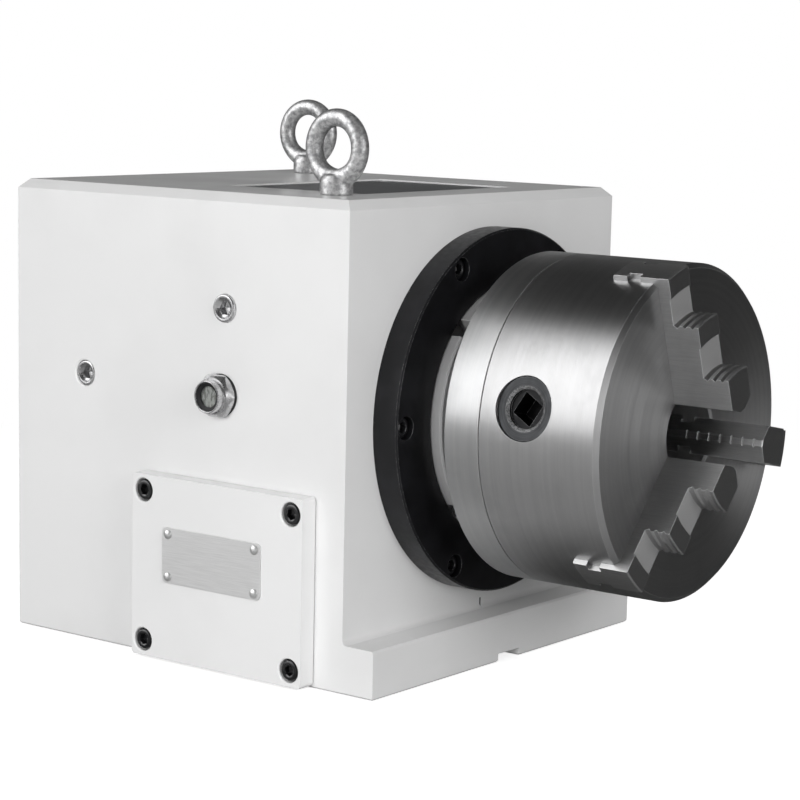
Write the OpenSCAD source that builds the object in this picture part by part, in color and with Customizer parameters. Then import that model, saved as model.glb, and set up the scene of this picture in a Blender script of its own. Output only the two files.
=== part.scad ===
// Rotary indexer with a three-jaw scroll chuck, in millimetres.
// The base stands on z = 0 with its keyway on y = 0, the front face of the cast body is x = 0,
// and the spindle runs along +X towards the chuck.

/* [Cast body] */
// Length of the body behind its front face
body_len = 216; // [214:1:240]
// Width of the body
body_w = 220; // [216:1:250]
// Height of the body
body_h = 231; // [226:1:250]
// Height of the spindle above the base
centre_h = 125; // [124:0.5:128]
// Thickness of the outer walls
wall = 12; // [10:0.5:13]
// Chamfer around the top of the body
edge_chamfer = 4.5; // [2:0.5:7]
// How far the clamping foot stands out in front
foot_len = 18.5; // [14:0.5:30]
// Height of the clamping foot
foot_h = 23.5; // [18:0.5:30]
// Width of the keyway under the base
key_w = 18; // [12:1:22]
// Depth of the keyway
key_depth = 4; // [3:0.5:6]
// Length of the keyway at each end
key_len = 15.5; // [10:0.5:24]

/* [Front ring] */
// Outside diameter of the black front ring
ring_d = 180; // [176:1:188]
// Thickness of the front ring
ring_t = 14; // [12:0.5:16]
// Distance of its screws from its rim
ring_edge = 7; // [6.5:0.5:9]
// Number of its screws
ring_screws = 6; // [4:1:8]

/* [Spindle and table] */
// Diameter of the rotary table
table_d = 126; // [122:1:128]
// Distance from the body to the front of the table
table_front = 19.5; // [18:0.5:22]
// Width of the table's T-slots
slot_w = 10; // [8:0.5:12]
// Through bore of the spindle
spindle_bore = 36; // [24:1:38]
// Inside diameter of the front main bearing
front_brg_id = 90; // [86:1:92]
// Thickness of the front main bearing between bore and rim
front_brg_t = 25; // [23:0.5:27]
// Width of the front main bearing
front_brg_w = 24; // [20:1:26]
// Inside diameter of the rear main bearing
rear_brg_id = 60; // [56:1:62]
// Thickness of the rear main bearing between bore and rim
rear_brg_t = 17.5; // [15:0.5:18]
// Width of the rear main bearing
rear_brg_w = 18; // [16:1:20]

/* [Worm drive] */
// Distance of the worm behind the front face
worm_x = 71.5; // [70:0.5:73]
// Module of the worm wheel
wheel_mod = 2; // [1.9:0.05:2]
// Teeth of the worm wheel
wheel_teeth = 60; // [58:1:60]
// Face width of the worm wheel
wheel_w = 22; // [18:1:22]
// Pitch diameter of the worm
worm_pd = 37; // [35:0.5:38]
// Teeth of the gear on the worm shaft
worm_gear_teeth = 50; // [46:1:50]
// Teeth of the gear on the motor
motor_gear_teeth = 40; // [38:1:44]
// Module of the two drive gears
drive_mod = 1.25; // [1.2:0.05:1.25]
// Face width of the two drive gears
drive_w = 11; // [9:0.5:12]
// Side of the square motor
motor_side = 60; // [56:1:60]
// Length of the motor
motor_len = 112; // [95:1:120]

/* [Chuck] */
// Diameter of the chuck
chuck_d = 160; // [158:1:170]
// Length of the chuck body
chuck_len = 64.5; // [63:0.5:68]
// Bore through the chuck
chuck_bore = 40; // [36:1:41]
// Thickness of the adapter plate's flange
adapter_t = 20; // [18:0.5:24]
// Height of the adapter plate's boss
adapter_boss = 14; // [12:0.5:18]
// Pitch circle of the three screws that hold the chuck
chuck_pcd = 142; // [141:0.5:143]
// Angle of the first jaw, from +Y towards +Z
jaw_angle = 108.8; // [100:0.2:120]

/* [Jaws and scroll] */
// Width of a jaw
jaw_w = 17.5; // [16:0.5:20]
// Diameter held between the jaws as they stand
grip_d = 30.4; // [29:0.2:32]
// Height of the lowest step above the chuck face
step_1 = 6.2; // [5:0.1:8]
// Height of the middle step above the chuck face
step_2 = 18.3; // [16:0.1:20]
// Height of the top step above the chuck face
step_3 = 30.5; // [28:0.1:34]
// Radius of the lower riser
riser_1 = 59.9; // [57:0.1:63]
// Radius of the upper riser
riser_2 = 35.3; // [33:0.1:38]
// How far a jaw stands out past the chuck's rim
jaw_past = 2.5; // [1:0.5:4]
// Travel of a jaw towards the centre
travel_in = 13.5; // [10:0.5:13.5]
// Travel of a jaw away from the centre
travel_out = 4; // [2:0.5:4]
// Pitch of the scroll
scroll_pitch = 7; // [6.6:0.1:7.4]
// Teeth of the crown gear behind the scroll
crown_teeth = 78; // [78:3:81]
// Teeth of a pinion
pinion_teeth = 10; // [10:1:10]
// Distance of the pinions behind the chuck face
pinion_back = 41; // [40.5:0.5:41.5]
// Width across the square key socket
key_socket = 11.5; // [8:0.5:11.5]

/* [Side fittings] */
// Length of the side cover
cover_l = 109; // [106:1:116]
// Height of the side cover
cover_h = 91; // [88:1:96]
// Thickness of the side cover
cover_t = 10; // [8:0.5:12]
// Centre of the side cover behind the front face
cover_x = 71.5; // [70:0.5:73]
// Lower edge of the side cover above the base
cover_z = 1; // [1:0.5:3]
// Length of the nameplate
name_l = 63; // [50:1:70]
// Height of the nameplate
name_h = 27.5; // [22:0.5:32]
// Across the flats of the sight glass
sight_af = 21; // [20:1:24]
// Height of the oil sight glass above the base
sight_z = 134; // [130:1:138]
// Height of the filler plug above the base
filler_z = 176; // [172:1:182]
// Diameter of a plug
plug_d = 13.6; // [12:0.2:15]

/* [Top] */
// Length of the top cover
top_l = 86; // [80:1:90]
// Width of the top cover
top_w = 122; // [110:1:124]
// Bar thickness of the eyebolts
eye_bar = 8.6; // [7.5:0.1:9]
// Hole of the eyebolts
eye_hole = 20; // [18:0.5:21]
// Height of the ring's centre above the body
eye_h = 22; // [20:0.5:24]
// Distance of an eyebolt from its end of the body
eye_x = 35; // [30:1:42]
// Distance of the eyebolts from the middle plane
eye_y = 77; // [74:1:84]

/* [Hidden] */
$fn = 96;

// Clearances, each used wherever its kind of fit occurs
run = 0.05;
slide = 0.06;
ease = 0.3;
snug = 0.1;
over = 1;

paint = [0.90, 0.90, 0.89];
steel = [0.72, 0.72, 0.71];
dark = [0.10, 0.10, 0.11];
bronze = [0.74, 0.56, 0.30];
zinc = [0.66, 0.67, 0.68];

// Metric socket screws: thread radius, head radius and head height
m4 = [2, 3.5, 4];
m5 = [2.5, 4.25, 5];
m6 = [3, 5, 6];
m8 = [4, 6.5, 8];

// Room round a screw head in its counterbore, and the broken edges of the base
sink_gap = 0.8;
base_edge = 0.8;

// Spindle stations, measured forward from the body's front face
ring_pcd = ring_d - 2 * ring_edge;
front_brg_od = front_brg_id + 2 * front_brg_t;
rear_brg_od = rear_brg_id + 2 * rear_brg_t;
table_back = 1.5;
front_brg_x1 = -8;
front_brg_x0 = front_brg_x1 - front_brg_w;
front_wall_x = front_brg_x0 - 8;
wheel_x1 = -worm_x + wheel_w / 2;
wheel_x0 = -worm_x - wheel_w / 2;
oil_x0 = wheel_x0 - 6;
rear_brg_x1 = oil_x0 - 5;
rear_brg_x0 = rear_brg_x1 - rear_brg_w;
locknut_x0 = rear_brg_x0 - 10;
tail_x = -body_len + 3;
wheel_flange_t = 8;
wheel_flange_r = 52;
wheel_seat_r = 40;
wheel_screw_r = wheel_seat_r + 6;
tail_r = 27;
tail_cap_r = tail_r + 15;
tail_cap_t = 6;
cavity_y = body_w / 2 - wall;
cavity_top = body_h - wall - 14;

// Worm drive
wheel_pr = wheel_mod * wheel_teeth / 2;
wheel_tip_r = wheel_pr + wheel_mod * 0.9;
worm_pr = worm_pd / 2;
worm_tip_r = worm_pr + wheel_mod * 0.9;
worm_z = centre_h - wheel_pr - worm_pr;
worm_half = 26;
worm_brg = [10, 23.5, 14];
worm_brg_y = worm_half + 4;
drive_y = 77;
drive_dist = drive_mod * (worm_gear_teeth + motor_gear_teeth) / 2;
motor_drop = 3.5;
motor_z = worm_z - motor_drop;
motor_x = worm_x + sqrt(drive_dist * drive_dist - motor_drop * motor_drop);
motor_face_y = 70;

// Chuck stations
adapter_x0 = table_front + adapter_boss;
chuck_x0 = adapter_x0 + adapter_t;
chuck_x1 = chuck_x0 + chuck_len;
chuck_r = chuck_d / 2;
rail_depth = 3;
foot_x0 = chuck_x1 - 23.5;
neck_x0 = chuck_x1 - 16;
neck_x1 = chuck_x1 - 9;
rim_wall = 16.5;
scroll_cav_r = chuck_r - rim_wall;
hub_r = chuck_bore / 2 + 5.5;
spiral_h = 4;
scroll_x1 = foot_x0 - ease;
scroll_x = scroll_x1 - spiral_h;
crown_h = 2.2;
crown_x0 = scroll_x - 6.6;
pinion_x = chuck_x1 - pinion_back;
crown_half = 5;
crown_mid = scroll_cav_r - crown_half - 2.5;
pinion_pr = crown_mid * pinion_teeth / crown_teeth;
pinion_tip_r = pinion_pr + 1.1;
// Radii between which the scroll cover carries the pinions' inner ends
carrier_r1 = crown_mid - crown_half - 5;
carrier_r0 = carrier_r1 - 8;
spigot_r = 65;
pinion_journal_r = 9.5;
// The hub fills its hole in the rim, and its face lies below the rim's highest line
pinion_hub_r = 15.2;
hub_sink = 1.6;
hub_y0 = spigot_r + 1.5;
pin_r = chuck_r - rim_wall / 2;
pinion_groove_r = pinion_hub_r - 2.1;
key_mouth_r = 9.2;
spigot_h = 4.5;
cover_disc_t = 6;
jaw_tip = grip_d / 2;
jaw_rim = chuck_r + jaw_past;
nose_flat = 1.5;
spiral_gap = 0.53 * scroll_pitch;
tooth_play = 0.45;
tooth_r_min = hub_r + travel_in + spiral_gap / 2 + 0.3;
tooth_r_max = scroll_cav_r - travel_out - spiral_gap / 2 - 0.3;

// Rear cover and top cover
rear_l = 170;
rear_z0 = 8;
rear_z1 = 82;
rear_t = 8;
top_t = 3;
top_x = 74;

// Side cover
cover_cz = cover_z + cover_h / 2;
cover_sx = 94;
cover_sz = 75;
cover_face = -body_w / 2 - cover_t;

function arc(r, a0, a1, n) = [for (i = [0:n]) let (a = a0 + (a1 - a0) * i / n) [r * cos(a), r * sin(a)]];

// Cylinders between two stations along each axis
module rod_x(x0, x1, r) {
    translate([x0, 0, 0]) rotate([0, 90, 0]) cylinder(r = r, h = x1 - x0);
}
module rod_y(y0, y1, r) {
    translate([0, y0, 0]) rotate([-90, 0, 0]) cylinder(r = r, h = y1 - y0);
}
module rod_z(z0, z1, r) {
    translate([0, 0, z0]) cylinder(r = r, h = z1 - z0);
}
module tube_x(x0, x1, r, bore) {
    difference() {
        rod_x(x0, x1, r);
        rod_x(x0 - over, x1 + over, bore);
    }
}
// A bar between two corners
module span(lo, hi) {
    translate(lo) cube(hi - lo);
}
module on_spindle() {
    translate([0, 0, centre_h]) children();
}
// Radial places round the spindle: +Y becomes the radius at that angle
module around(angles) {
    on_spindle() for (a = angles) rotate([a, 0, 0]) children();
}
module hex_rod_x(x0, x1, af) {
    translate([x0, 0, 0]) rotate([0, 90, 0]) cylinder(d = af / cos(30), h = x1 - x0, $fn = 6);
}

// Socket head cap screw along X with its head's front face at x and its shank towards -X
module cap_screw(s, x, len) {
    chamfer = s[0] * 0.15;
    difference() {
        translate([x, 0, 0]) rotate([0, -90, 0]) rotate_extrude() polygon([
            [0, 0], [s[1] - chamfer, 0], [s[1], chamfer], [s[1], s[2]], [s[0], s[2]],
            [s[0], s[2] + len - chamfer], [s[0] - chamfer, s[2] + len], [0, s[2] + len]
        ]);
        hex_rod_x(x - s[0], x + over, s[0] * 1.6);
    }
}
// The hole for such a screw, with a counterbore from its head's front face outwards
module cap_hole(s, x, len, sink) {
    rod_x(x - s[2] - len - snug, x + sink, s[0] + snug);
    rod_x(x - s[2], x + sink, s[1] + sink_gap);
}
function ring_angles(n, a0) = [for (i = [0:n - 1]) a0 + i * 360 / n];
jaw_angles = ring_angles(3, jaw_angle);
pinion_angles = ring_angles(3, jaw_angle + 60);

// Deep groove bearing rings and balls along X
function ball_r(od, id) = (od - id) * 0.14;
module bearing_outer(x0, w, id, od) {
    pr = (od + id) / 4;
    difference() {
        tube_x(x0, x0 + w, od / 2, pr + ball_r(od, id) * 0.42);
        translate([x0 + w / 2, 0, 0]) rotate([0, 90, 0])
            rotate_extrude() translate([pr, 0]) circle(r = ball_r(od, id) + run, $fn = 40);
    }
}
module bearing_inner(x0, w, id, od) {
    pr = (od + id) / 4;
    difference() {
        tube_x(x0, x0 + w, pr - ball_r(od, id) * 0.42, id / 2);
        translate([x0 + w / 2, 0, 0]) rotate([0, 90, 0])
            rotate_extrude() translate([pr, 0]) circle(r = ball_r(od, id) + run, $fn = 40);
    }
}
module bearing_balls(x0, w, id, od, n) {
    for (a = ring_angles(n, 7)) rotate([a, 0, 0])
        translate([x0 + w / 2, (od + id) / 4, 0]) sphere(r = ball_r(od, id), $fn = 32);
}

// Cast body: a chamfered block with a clamping foot, hollow inside
module body_block() {
    c = edge_chamfer;
    b = 1;
    e = base_edge;
    intersection() {
        translate([0, body_w / 2, 0]) rotate([90, 0, 0]) linear_extrude(body_w) polygon([
            [-body_len, e], [-body_len + e, 0], [foot_len - e, 0], [foot_len, e], [foot_len, foot_h - b],
            [foot_len - b, foot_h], [0, foot_h],
            [0, body_h - c], [-c, body_h], [-body_len + c, body_h], [-body_len, body_h - c]
        ]);
        translate([-body_len, 0, 0]) rotate([90, 0, 90]) linear_extrude(body_len + foot_len) polygon([
            [-body_w / 2, e], [-body_w / 2 + e, 0], [body_w / 2 - e, 0], [body_w / 2, e],
            [body_w / 2, body_h - c], [body_w / 2 - c, body_h], [-body_w / 2 + c, body_h],
            [-body_w / 2, body_h - c]
        ]);
    }
}
// A keyway under the base with broken edges
module keyway(x0, x1) {
    e = base_edge;
    translate([x0, 0, 0]) rotate([90, 0, 90]) linear_extrude(x1 - x0) polygon([
        [-key_w / 2 - e - over, -over], [key_w / 2 + e + over, -over], [key_w / 2, e], [key_w / 2, key_depth],
        [-key_w / 2, key_depth], [-key_w / 2, e]
    ]);
}
module foot_fillet() {
    f = 2.5;
    difference() {
        span([-over, -body_w / 2, foot_h - over], [f, body_w / 2, foot_h + f]);
        translate([f, 0, foot_h + f]) rod_y(-body_w / 2 - over, body_w / 2 + over, f);
    }
}
module housing_hollows() {
    web_top = worm_z + 29;
    floor_z = wall;
    // oil chamber round the worm wheel
    span([oil_x0, -cavity_y, web_top], [front_wall_x, cavity_y, cavity_top]);
    on_spindle() rod_x(oil_x0, front_wall_x, wheel_tip_r + 2.2);
    for (side = [-1, 1]) {
        y0 = side < 0 ? -cavity_y : worm_brg_y + worm_brg[2] + 4;
        y1 = side < 0 ? -worm_brg_y - worm_brg[2] - 4 : cavity_y;
        span([oil_x0, y0, floor_z], [front_wall_x, y1, web_top + over]);
    }
    span([oil_x0, -worm_half - 2, floor_z + 6], [front_wall_x, worm_half + 2, web_top + over]);
    translate([-worm_x, 0, worm_z]) {
        rod_y(-worm_half - 2, worm_half + 2, worm_tip_r + 1);
        rod_y(-worm_brg_y - worm_brg[2], worm_brg_y + worm_brg[2], worm_brg[1] + run);
        rod_y(-worm_brg_y - worm_brg[2] - 5, worm_brg_y + worm_brg[2] + 5, worm_brg[1] - 5);
    }
    // motor chamber, and its pocket below the rear bearing
    span([-body_len + wall, -cavity_y, floor_z], [rear_brg_x0 - 1.5, motor_face_y, body_h - wall]);
    span([-body_len + wall, -cavity_y, web_top + 3], [rear_brg_x0 - 1.5, cavity_y, body_h - wall]);
    span([rear_brg_x0 - 2, -cavity_y, floor_z],
        [-motor_x + motor_side / 2 + 0.6, motor_face_y, motor_z + motor_side / 2 + 0.6]);
    // gear chamber at the far side
    span([-motor_x - motor_side / 2 - 1, motor_face_y + 5, floor_z], [-worm_x + 34, cavity_y, web_top + 3.5]);
    translate([-motor_x, 0, motor_z]) rod_y(motor_face_y - over, motor_face_y + 6, 12);
    // spindle seats
    on_spindle() {
        rod_x(front_brg_x0, over, front_brg_od / 2 + run);
        rod_x(front_wall_x - over, 0, front_brg_od / 2 - 8);
        rod_x(rear_brg_x0 - 3, rear_brg_x1, rear_brg_od / 2 + run);
        rod_x(rear_brg_x0, oil_x0 + over, rear_brg_od / 2 - 5);
        rod_x(-body_len - over, -body_len + wall + over, tail_r + ease);
        rod_x(-body_len - over, -body_len + tail_cap_t, tail_cap_r + snug);
    }
    // windows behind the covers
    span([-body_len - over, -rear_l / 2 + 10, floor_z + 4],
        [-body_len + wall + over, rear_l / 2 - 10, rear_z1 - 10]);
    span([-body_len - over, -rear_l / 2 - snug, rear_z0 - snug],
        [-body_len + rear_t, rear_l / 2 + snug, rear_z1 + snug]);
    span([-cover_x - 34, -body_w / 2 - over, 19], [-cover_x + 32, -cavity_y + over, 74]);
    span([-top_x - top_l / 2 - snug, -top_w / 2 - snug, body_h - top_t],
        [-top_x + top_l / 2 + snug, top_w / 2 + snug, body_h + over]);
    span([oil_x0 + 2, -top_w / 2 + 14, cavity_top - over], [front_wall_x - 2, top_w / 2 - 14, body_h]);
}

module housing() {
    color(paint) difference() {
        union() {
            body_block();
            foot_fillet();
        }
        housing_hollows();
        // keyways and the centre mark
        keyway(max(3, foot_len - key_len), foot_len + over);
        keyway(-body_len - over, -body_len + key_len);
        span([-0.8, -0.55, foot_h + 0.2], [3, 0.55, foot_h + 5]);
        // screw, plug and sight glass holes
        around(ring_angles(ring_screws, 0)) translate([0, ring_pcd / 2, 0]) rod_x(-17, over, m6[0] + snug);
        cover_screw_places() rod_x(-15, over, m6[0] + snug);
        side_place(-filler_x, filler_z) rod_x(-wall - over, over, plug_d / 2 + snug);
        side_place(-port_x, port_z) translate([-wall - over, 0, 0]) rotate([0, 90, 0])
            rotate_extrude() polygon([
                [0, 0], [port_d / 2 + snug, 0], [port_d / 2 + snug, wall + over - 0.7],
                [port_d / 2 + snug + 1.7, wall + over + over], [0, wall + over + over]
            ]);
        side_place(-sight_x, sight_z) rod_x(-wall - over, over, 8 + snug);
        eye_places() rod_z(-eye_thread - snug, over, 4 + snug);
        top_screw_places() rod_z(-11, over, m4[0] + snug);
        rear_screw_places() rod_x(-wall - over, over, m5[0] + snug);
        cap_screw_places() rod_x(-wall - over, over, m4[0] + snug);
        motor_screw_places() rod_y(-over, 5 + over, m5[0] + snug);
    }
}
// Places on the side that the camera sees: +X of the children points out of the wall
module side_place(x, z, y = -body_w / 2) {
    translate([x, y, z]) rotate([0, 0, -90]) children();
}
filler_x = 75;
port_x = 168.6;
port_z = 136;
sight_x = 77.5;

// Top cover, flush in its recess
module top_cover() {
    color(dark) difference() {
        span([-top_x - top_l / 2, -top_w / 2, body_h - top_t], [-top_x + top_l / 2, top_w / 2, body_h - 0.8]);
        top_screw_places() rod_z(-over - top_t, over, m4[0] + snug);
        top_screw_places() translate([0, 0, -2.9]) cylinder(r1 = m4[0] + snug, r2 = m4[0] * 2 + 0.3, h = 2.2);
    }
}
module top_screw_places() {
    for (x = [-1, 1], y = [-1, 1])
        translate([-top_x + x * (top_l / 2 - 6), y * (top_w / 2 - 6), body_h]) children();
}
module top_cover_screws() {
    color(zinc) top_screw_places() difference() {
        translate([0, 0, -10]) rotate_extrude() polygon([
            [0, 0], [m4[0], 0], [m4[0], 7.2], [m4[0] * 2, 9.1], [m4[0] * 2, 9.2], [0, 9.2]
        ]);
        translate([0, 0, -2.6]) cylinder(d = 2.5 / cos(30), h = 3, $fn = 6);
    }
}

// Side cover over the worm
module cover_screw_places() {
    for (x = [-1, 1], z = [-1, 1])
        side_place(-cover_x + x * cover_sx / 2, cover_cz + z * cover_sz / 2) children();
}
// A slab with rounded corners on the side wall, from one height above it to another
module side_slab(x, z, l, h, r, y0, y1) {
    translate([x, -body_w / 2 - y0, z]) rotate([90, 0, 0]) linear_extrude(y1 - y0)
        polygon([for (q = [0:3])
            let (cx = (q == 0 || q == 3 ? 1 : -1) * (l / 2 - r), cz = (q < 2 ? 1 : -1) * (h / 2 - r))
            each [for (p = arc(r, q * 90, q * 90 + 90, 4)) [cx + p[0], cz + p[1]]]]);
}
module side_cover() {
    gap = 0.5;
    c = 0.5;
    color(paint) difference() {
        union() {
            side_slab(-cover_x, cover_cz, cover_l, cover_h, 2, gap, cover_t);
            side_slab(-cover_x, cover_cz, cover_l - 2, cover_h - 2, 1, 0, gap + over);
        }
        cover_screw_places() {
            cap_hole(m6, cover_t - 0.6, 20, 3);
            translate([cover_t - c, 0, 0]) rotate([0, 90, 0])
                cylinder(h = c + over, r1 = m6[1] + sink_gap, r2 = m6[1] + sink_gap + c + over);
        }
        rivet_places() rod_x(-3.2, over, 1.3);
    }
}
module side_cover_screws() {
    color(dark) cover_screw_places() cap_screw(m6, cover_t - 0.6, 18);
}
module nameplate() {
    color(zinc) difference() {
        side_slab(-cover_x - name_off, name_z, name_l, name_h, 2.5, cover_t, cover_t + 0.8);
        rivet_places() rod_x(-over, 2, 1.2 + snug);
    }
}
name_off = 2;
name_z = 53.8;
module rivet_places() {
    for (x = [-1, 1], z = [-1, 1])
        side_place(-cover_x - name_off + x * (name_l / 2 - 3.8), name_z + z * (name_h / 2 - 3.2), cover_face)
            children();
}
module nameplate_rivets() {
    color(zinc) rivet_places() rotate([0, 90, 0]) rotate_extrude() polygon(concat(
        [[0, -3], [1.2, -3], [1.2, 0.8 + run]], [for (p = arc(2.4, 0, 90, 8)) [p[0], 0.8 + run + p[1] * 0.6]]
    ));
}

// Plugs and sight glass in the side wall
module socket_plug(d, out) {
    end = wall - over + out;
    difference() {
        translate([-wall + over, 0, 0]) rotate([0, 90, 0]) rotate_extrude() polygon([
            [0, 0], [d / 2, 0], [d / 2, end - 0.8], [d / 2 - 0.8, end], [0, end]
        ]);
        hex_rod_x(out - 5, out + over, d * 0.46);
    }
}
module filler_plug() {
    color(zinc) side_place(-filler_x, filler_z) socket_plug(plug_d, 1.6);
}
module rear_port_plug() {
    color(zinc) side_place(-port_x, port_z) socket_plug(port_d, -0.6);
}
port_d = plug_d - 1;
sight_washer_t = 1.4;
sight_hex_t = 5;
sight_ring_t = 4;
sight_ring_r = sight_af * 0.39;
sight_glass_r = sight_ring_r - 1.6;
module sight_glass_washer() {
    color(dark) side_place(-sight_x, sight_z) tube_x(0, sight_washer_t, sight_af * 0.5 - 0.1, 8 + snug);
}
module sight_glass_body() {
    x0 = sight_washer_t;
    x1 = sight_washer_t + sight_hex_t;
    x2 = x1 + sight_ring_t;
    color(zinc) side_place(-sight_x, sight_z) difference() {
        union() {
            intersection() {
                rotate([30, 0, 0]) hex_rod_x(x0, x1, sight_af);
                translate([x0, 0, 0]) rotate([0, 90, 0]) rotate_extrude() polygon([
                    [0, 0], [sight_af * 0.53, 0], [sight_af * 0.56, 0.9],
                    [sight_af * 0.56, sight_hex_t - 1.8], [sight_af * 0.47, sight_hex_t], [0, sight_hex_t]
                ]);
            }
            translate([-wall + over, 0, 0]) rotate([0, 90, 0]) rotate_extrude() polygon([
                [0, 0], [8, 0], [8, wall + 1], [sight_ring_r, wall + 1],
                [sight_ring_r, wall - over + x2 - 0.5], [sight_ring_r - 0.5, wall - over + x2],
                [0, wall - over + x2]
            ]);
        }
        rod_x(x2 - 4.4, x2 + over, sight_glass_r);
        rod_x(-wall, x2, sight_glass_r - 1.6);
    }
}
module sight_glass_window() {
    x2 = sight_washer_t + sight_hex_t + sight_ring_t;
    color([0.35, 0.36, 0.34]) side_place(-sight_x, sight_z) rod_x(x2 - 4.4, x2 - 2.6, sight_glass_r - run);
}

// Eyebolts on one diagonal of the top
eye_thread = 11;
eye_pos = [[-eye_x, -eye_y], [eye_x - body_len, eye_y]];
module eye_places() {
    for (p = eye_pos) translate([p[0], p[1], body_h]) children();
}
module eyebolt(turn) {
    pr = (eye_hole + eye_bar) / 2;
    collar_r = 8;
    rotate([0, 0, turn]) {
        difference() {
            union() {
                translate([0, 0, eye_h]) rotate([90, 0, 0]) rotate_extrude()
                    translate([pr, 0]) circle(d = eye_bar, $fn = 48);
                rotate_extrude() polygon([
                    [0, 0], [collar_r - 0.5, 0], [collar_r, 0.5], [collar_r, 6], [collar_r * 0.9, 7.2],
                    [eye_bar * 0.66, 9.4], [0, 9.4]
                ]);
            }
            translate([0, 0, eye_h]) rod_y(-eye_bar * 0.2, eye_bar * 0.2, eye_hole / 2);
        }
        rod_z(-eye_thread, over, 4);
    }
}
module eyebolt_front() {
    color(zinc) translate([eye_pos[0][0], eye_pos[0][1], body_h]) eyebolt(-2);
}
module eyebolt_rear() {
    color(zinc) translate([eye_pos[1][0], eye_pos[1][1], body_h]) eyebolt(4);
}

// Black ring that closes the front bearing
module front_ring() {
    c = 0.8;
    r = ring_d / 2;
    bore = table_d / 2 + ease;
    spigot = front_brg_od / 2 - 0.1;
    color(dark) difference() {
        on_spindle() rotate([0, 90, 0]) rotate_extrude() polygon([
            [bore, front_brg_x1 + run], [spigot, front_brg_x1 + run], [spigot, 0], [r, 0], [r, ring_t - c],
            [r - c, ring_t], [bore + 0.6, ring_t], [bore, ring_t - 0.6]
        ]);
        on_spindle() rod_x(seal_x0, seal_x0 + seal_t, bore + 4);
        around(ring_angles(ring_screws, 0)) translate([0, ring_pcd / 2, 0]) cap_hole(m6, ring_t - 2, 10, 4);
    }
}
seal_x0 = 4;
seal_t = 5;
module front_ring_screws() {
    color(dark) around(ring_angles(ring_screws, 0)) translate([0, ring_pcd / 2, 0])
        cap_screw(m6, ring_t - 2, 20);
}
module spindle_seal() {
    color(dark) on_spindle() tube_x(seal_x0, seal_x0 + seal_t, table_d / 2 + ease + 3.95, table_d / 2 + 0.1);
}

// Main bearings
module front_bearing_outer() {
    color(steel) on_spindle() bearing_outer(front_brg_x0, front_brg_w, front_brg_id, front_brg_od);
}
module front_bearing_inner() {
    color(steel) on_spindle() bearing_inner(front_brg_x0, front_brg_w, front_brg_id, front_brg_od);
}
module rear_bearing_outer() {
    color(steel) on_spindle() bearing_outer(rear_brg_x0, rear_brg_w, rear_brg_id, rear_brg_od);
}
module rear_bearing_inner() {
    color(steel) on_spindle() bearing_inner(rear_brg_x0, rear_brg_w, rear_brg_id, rear_brg_od);
}
module main_bearing_balls() {
    color(steel) on_spindle() {
        bearing_balls(front_brg_x0, front_brg_w, front_brg_id, front_brg_od, 16);
        bearing_balls(rear_brg_x0, rear_brg_w, rear_brg_id, rear_brg_od, 14);
    }
}

// Rear covers
module cap_screw_places() {
    around(ring_angles(4, 45)) translate([-body_len, tail_cap_r - 6, 0]) rotate([0, 0, 180]) children();
}
module rear_spindle_cap() {
    color(dark) difference() {
        on_spindle() tube_x(-body_len, -body_len + tail_cap_t, tail_cap_r, tail_r + ease);
        cap_screw_places() cap_hole(m4, -1, 10, 3);
    }
}
module rear_spindle_cap_screws() {
    color(dark) cap_screw_places() cap_screw(m4, -1, 8 - 2);
}
module rear_screw_places() {
    for (y = [-1, 0, 1], z = [rear_z0 + 5.5, rear_z1 - 5.5])
        translate([-body_len, y * (rear_l / 2 - 6), z]) rotate([0, 0, 180]) children();
}
module rear_cover() {
    color(paint) difference() {
        span([-body_len, -rear_l / 2, rear_z0], [-body_len + rear_t, rear_l / 2, rear_z1]);
        rear_screw_places() cap_hole(m5, -0.8, 10, 3);
        translate([0, lead_y, lead_z]) rod_x(-body_len - over, -body_len + rear_t + over, 11);
    }
}
lead_y = 40;
lead_z = 45;
module lead_socket() {
    color(dark) translate([0, lead_y, lead_z]) rotate([0, 90, 0]) rotate_extrude() polygon([
        [0, -body_len + 4], [3.2, -body_len + 4], [3.2, -body_len - 1.5], [6.5, -body_len - 1.5],
        [6.5, -body_len + 2], [8.2, -body_len + 2], [8.2, -body_len - 3], [12.5, -body_len - 3],
        [13, -body_len - 2.5], [13, -body_len], [10.9, -body_len], [10.9, -body_len + rear_t + 8],
        [0, -body_len + rear_t + 8]
    ]);
}
module rear_cover_screws() {
    color(dark) rear_screw_places() cap_screw(m5, -0.8, wall - m5[2] - 1.3);
}

// Motor in the rear chamber, bolted to the gear chamber's wall
module motor_place() {
    translate([-motor_x, motor_face_y, motor_z]) children();
}
module motor() {
    h = motor_side / 2;
    color(dark) motor_place() difference() {
        union() {
            span([-h, -8, -h], [h, 0, h]);
            intersection() {
                span([-h + 1, -motor_len + 30, -h + 1], [h - 1, -8 + over, h - 1]);
                rod_y(-motor_len, 0, h * 1.22);
            }
            span([-h + 3, -motor_len, -h + 3], [h - 3, -motor_len + 30 + over, h - 3]);
            rod_y(-over, 3, 11.5);
        }
        rod_y(-motor_len + 40, 4, 7 + ease);
        motor_screw_holes();
    }
}
module motor_screw_holes() {
    for (x = [-1, 1], z = [-1, 1]) translate([x * (motor_side / 2 - 5), 0, z * (motor_side / 2 - 5)])
        rod_y(-10, over, m5[0] + snug);
}
module motor_screw_places() {
    for (x = [-1, 1], z = [-1, 1])
        motor_place() translate([x * (motor_side / 2 - 5), 0, z * (motor_side / 2 - 5)]) children();
}
module motor_screws() {
    color(dark) motor_screw_places() rotate([0, 0, 90]) cap_screw(m5, 5 + m5[2], 13);
}
module motor_shaft() {
    color(steel) motor_place() rod_y(-motor_len + 42, drive_y + drive_w + 3 - motor_face_y, 7);
}

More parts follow.
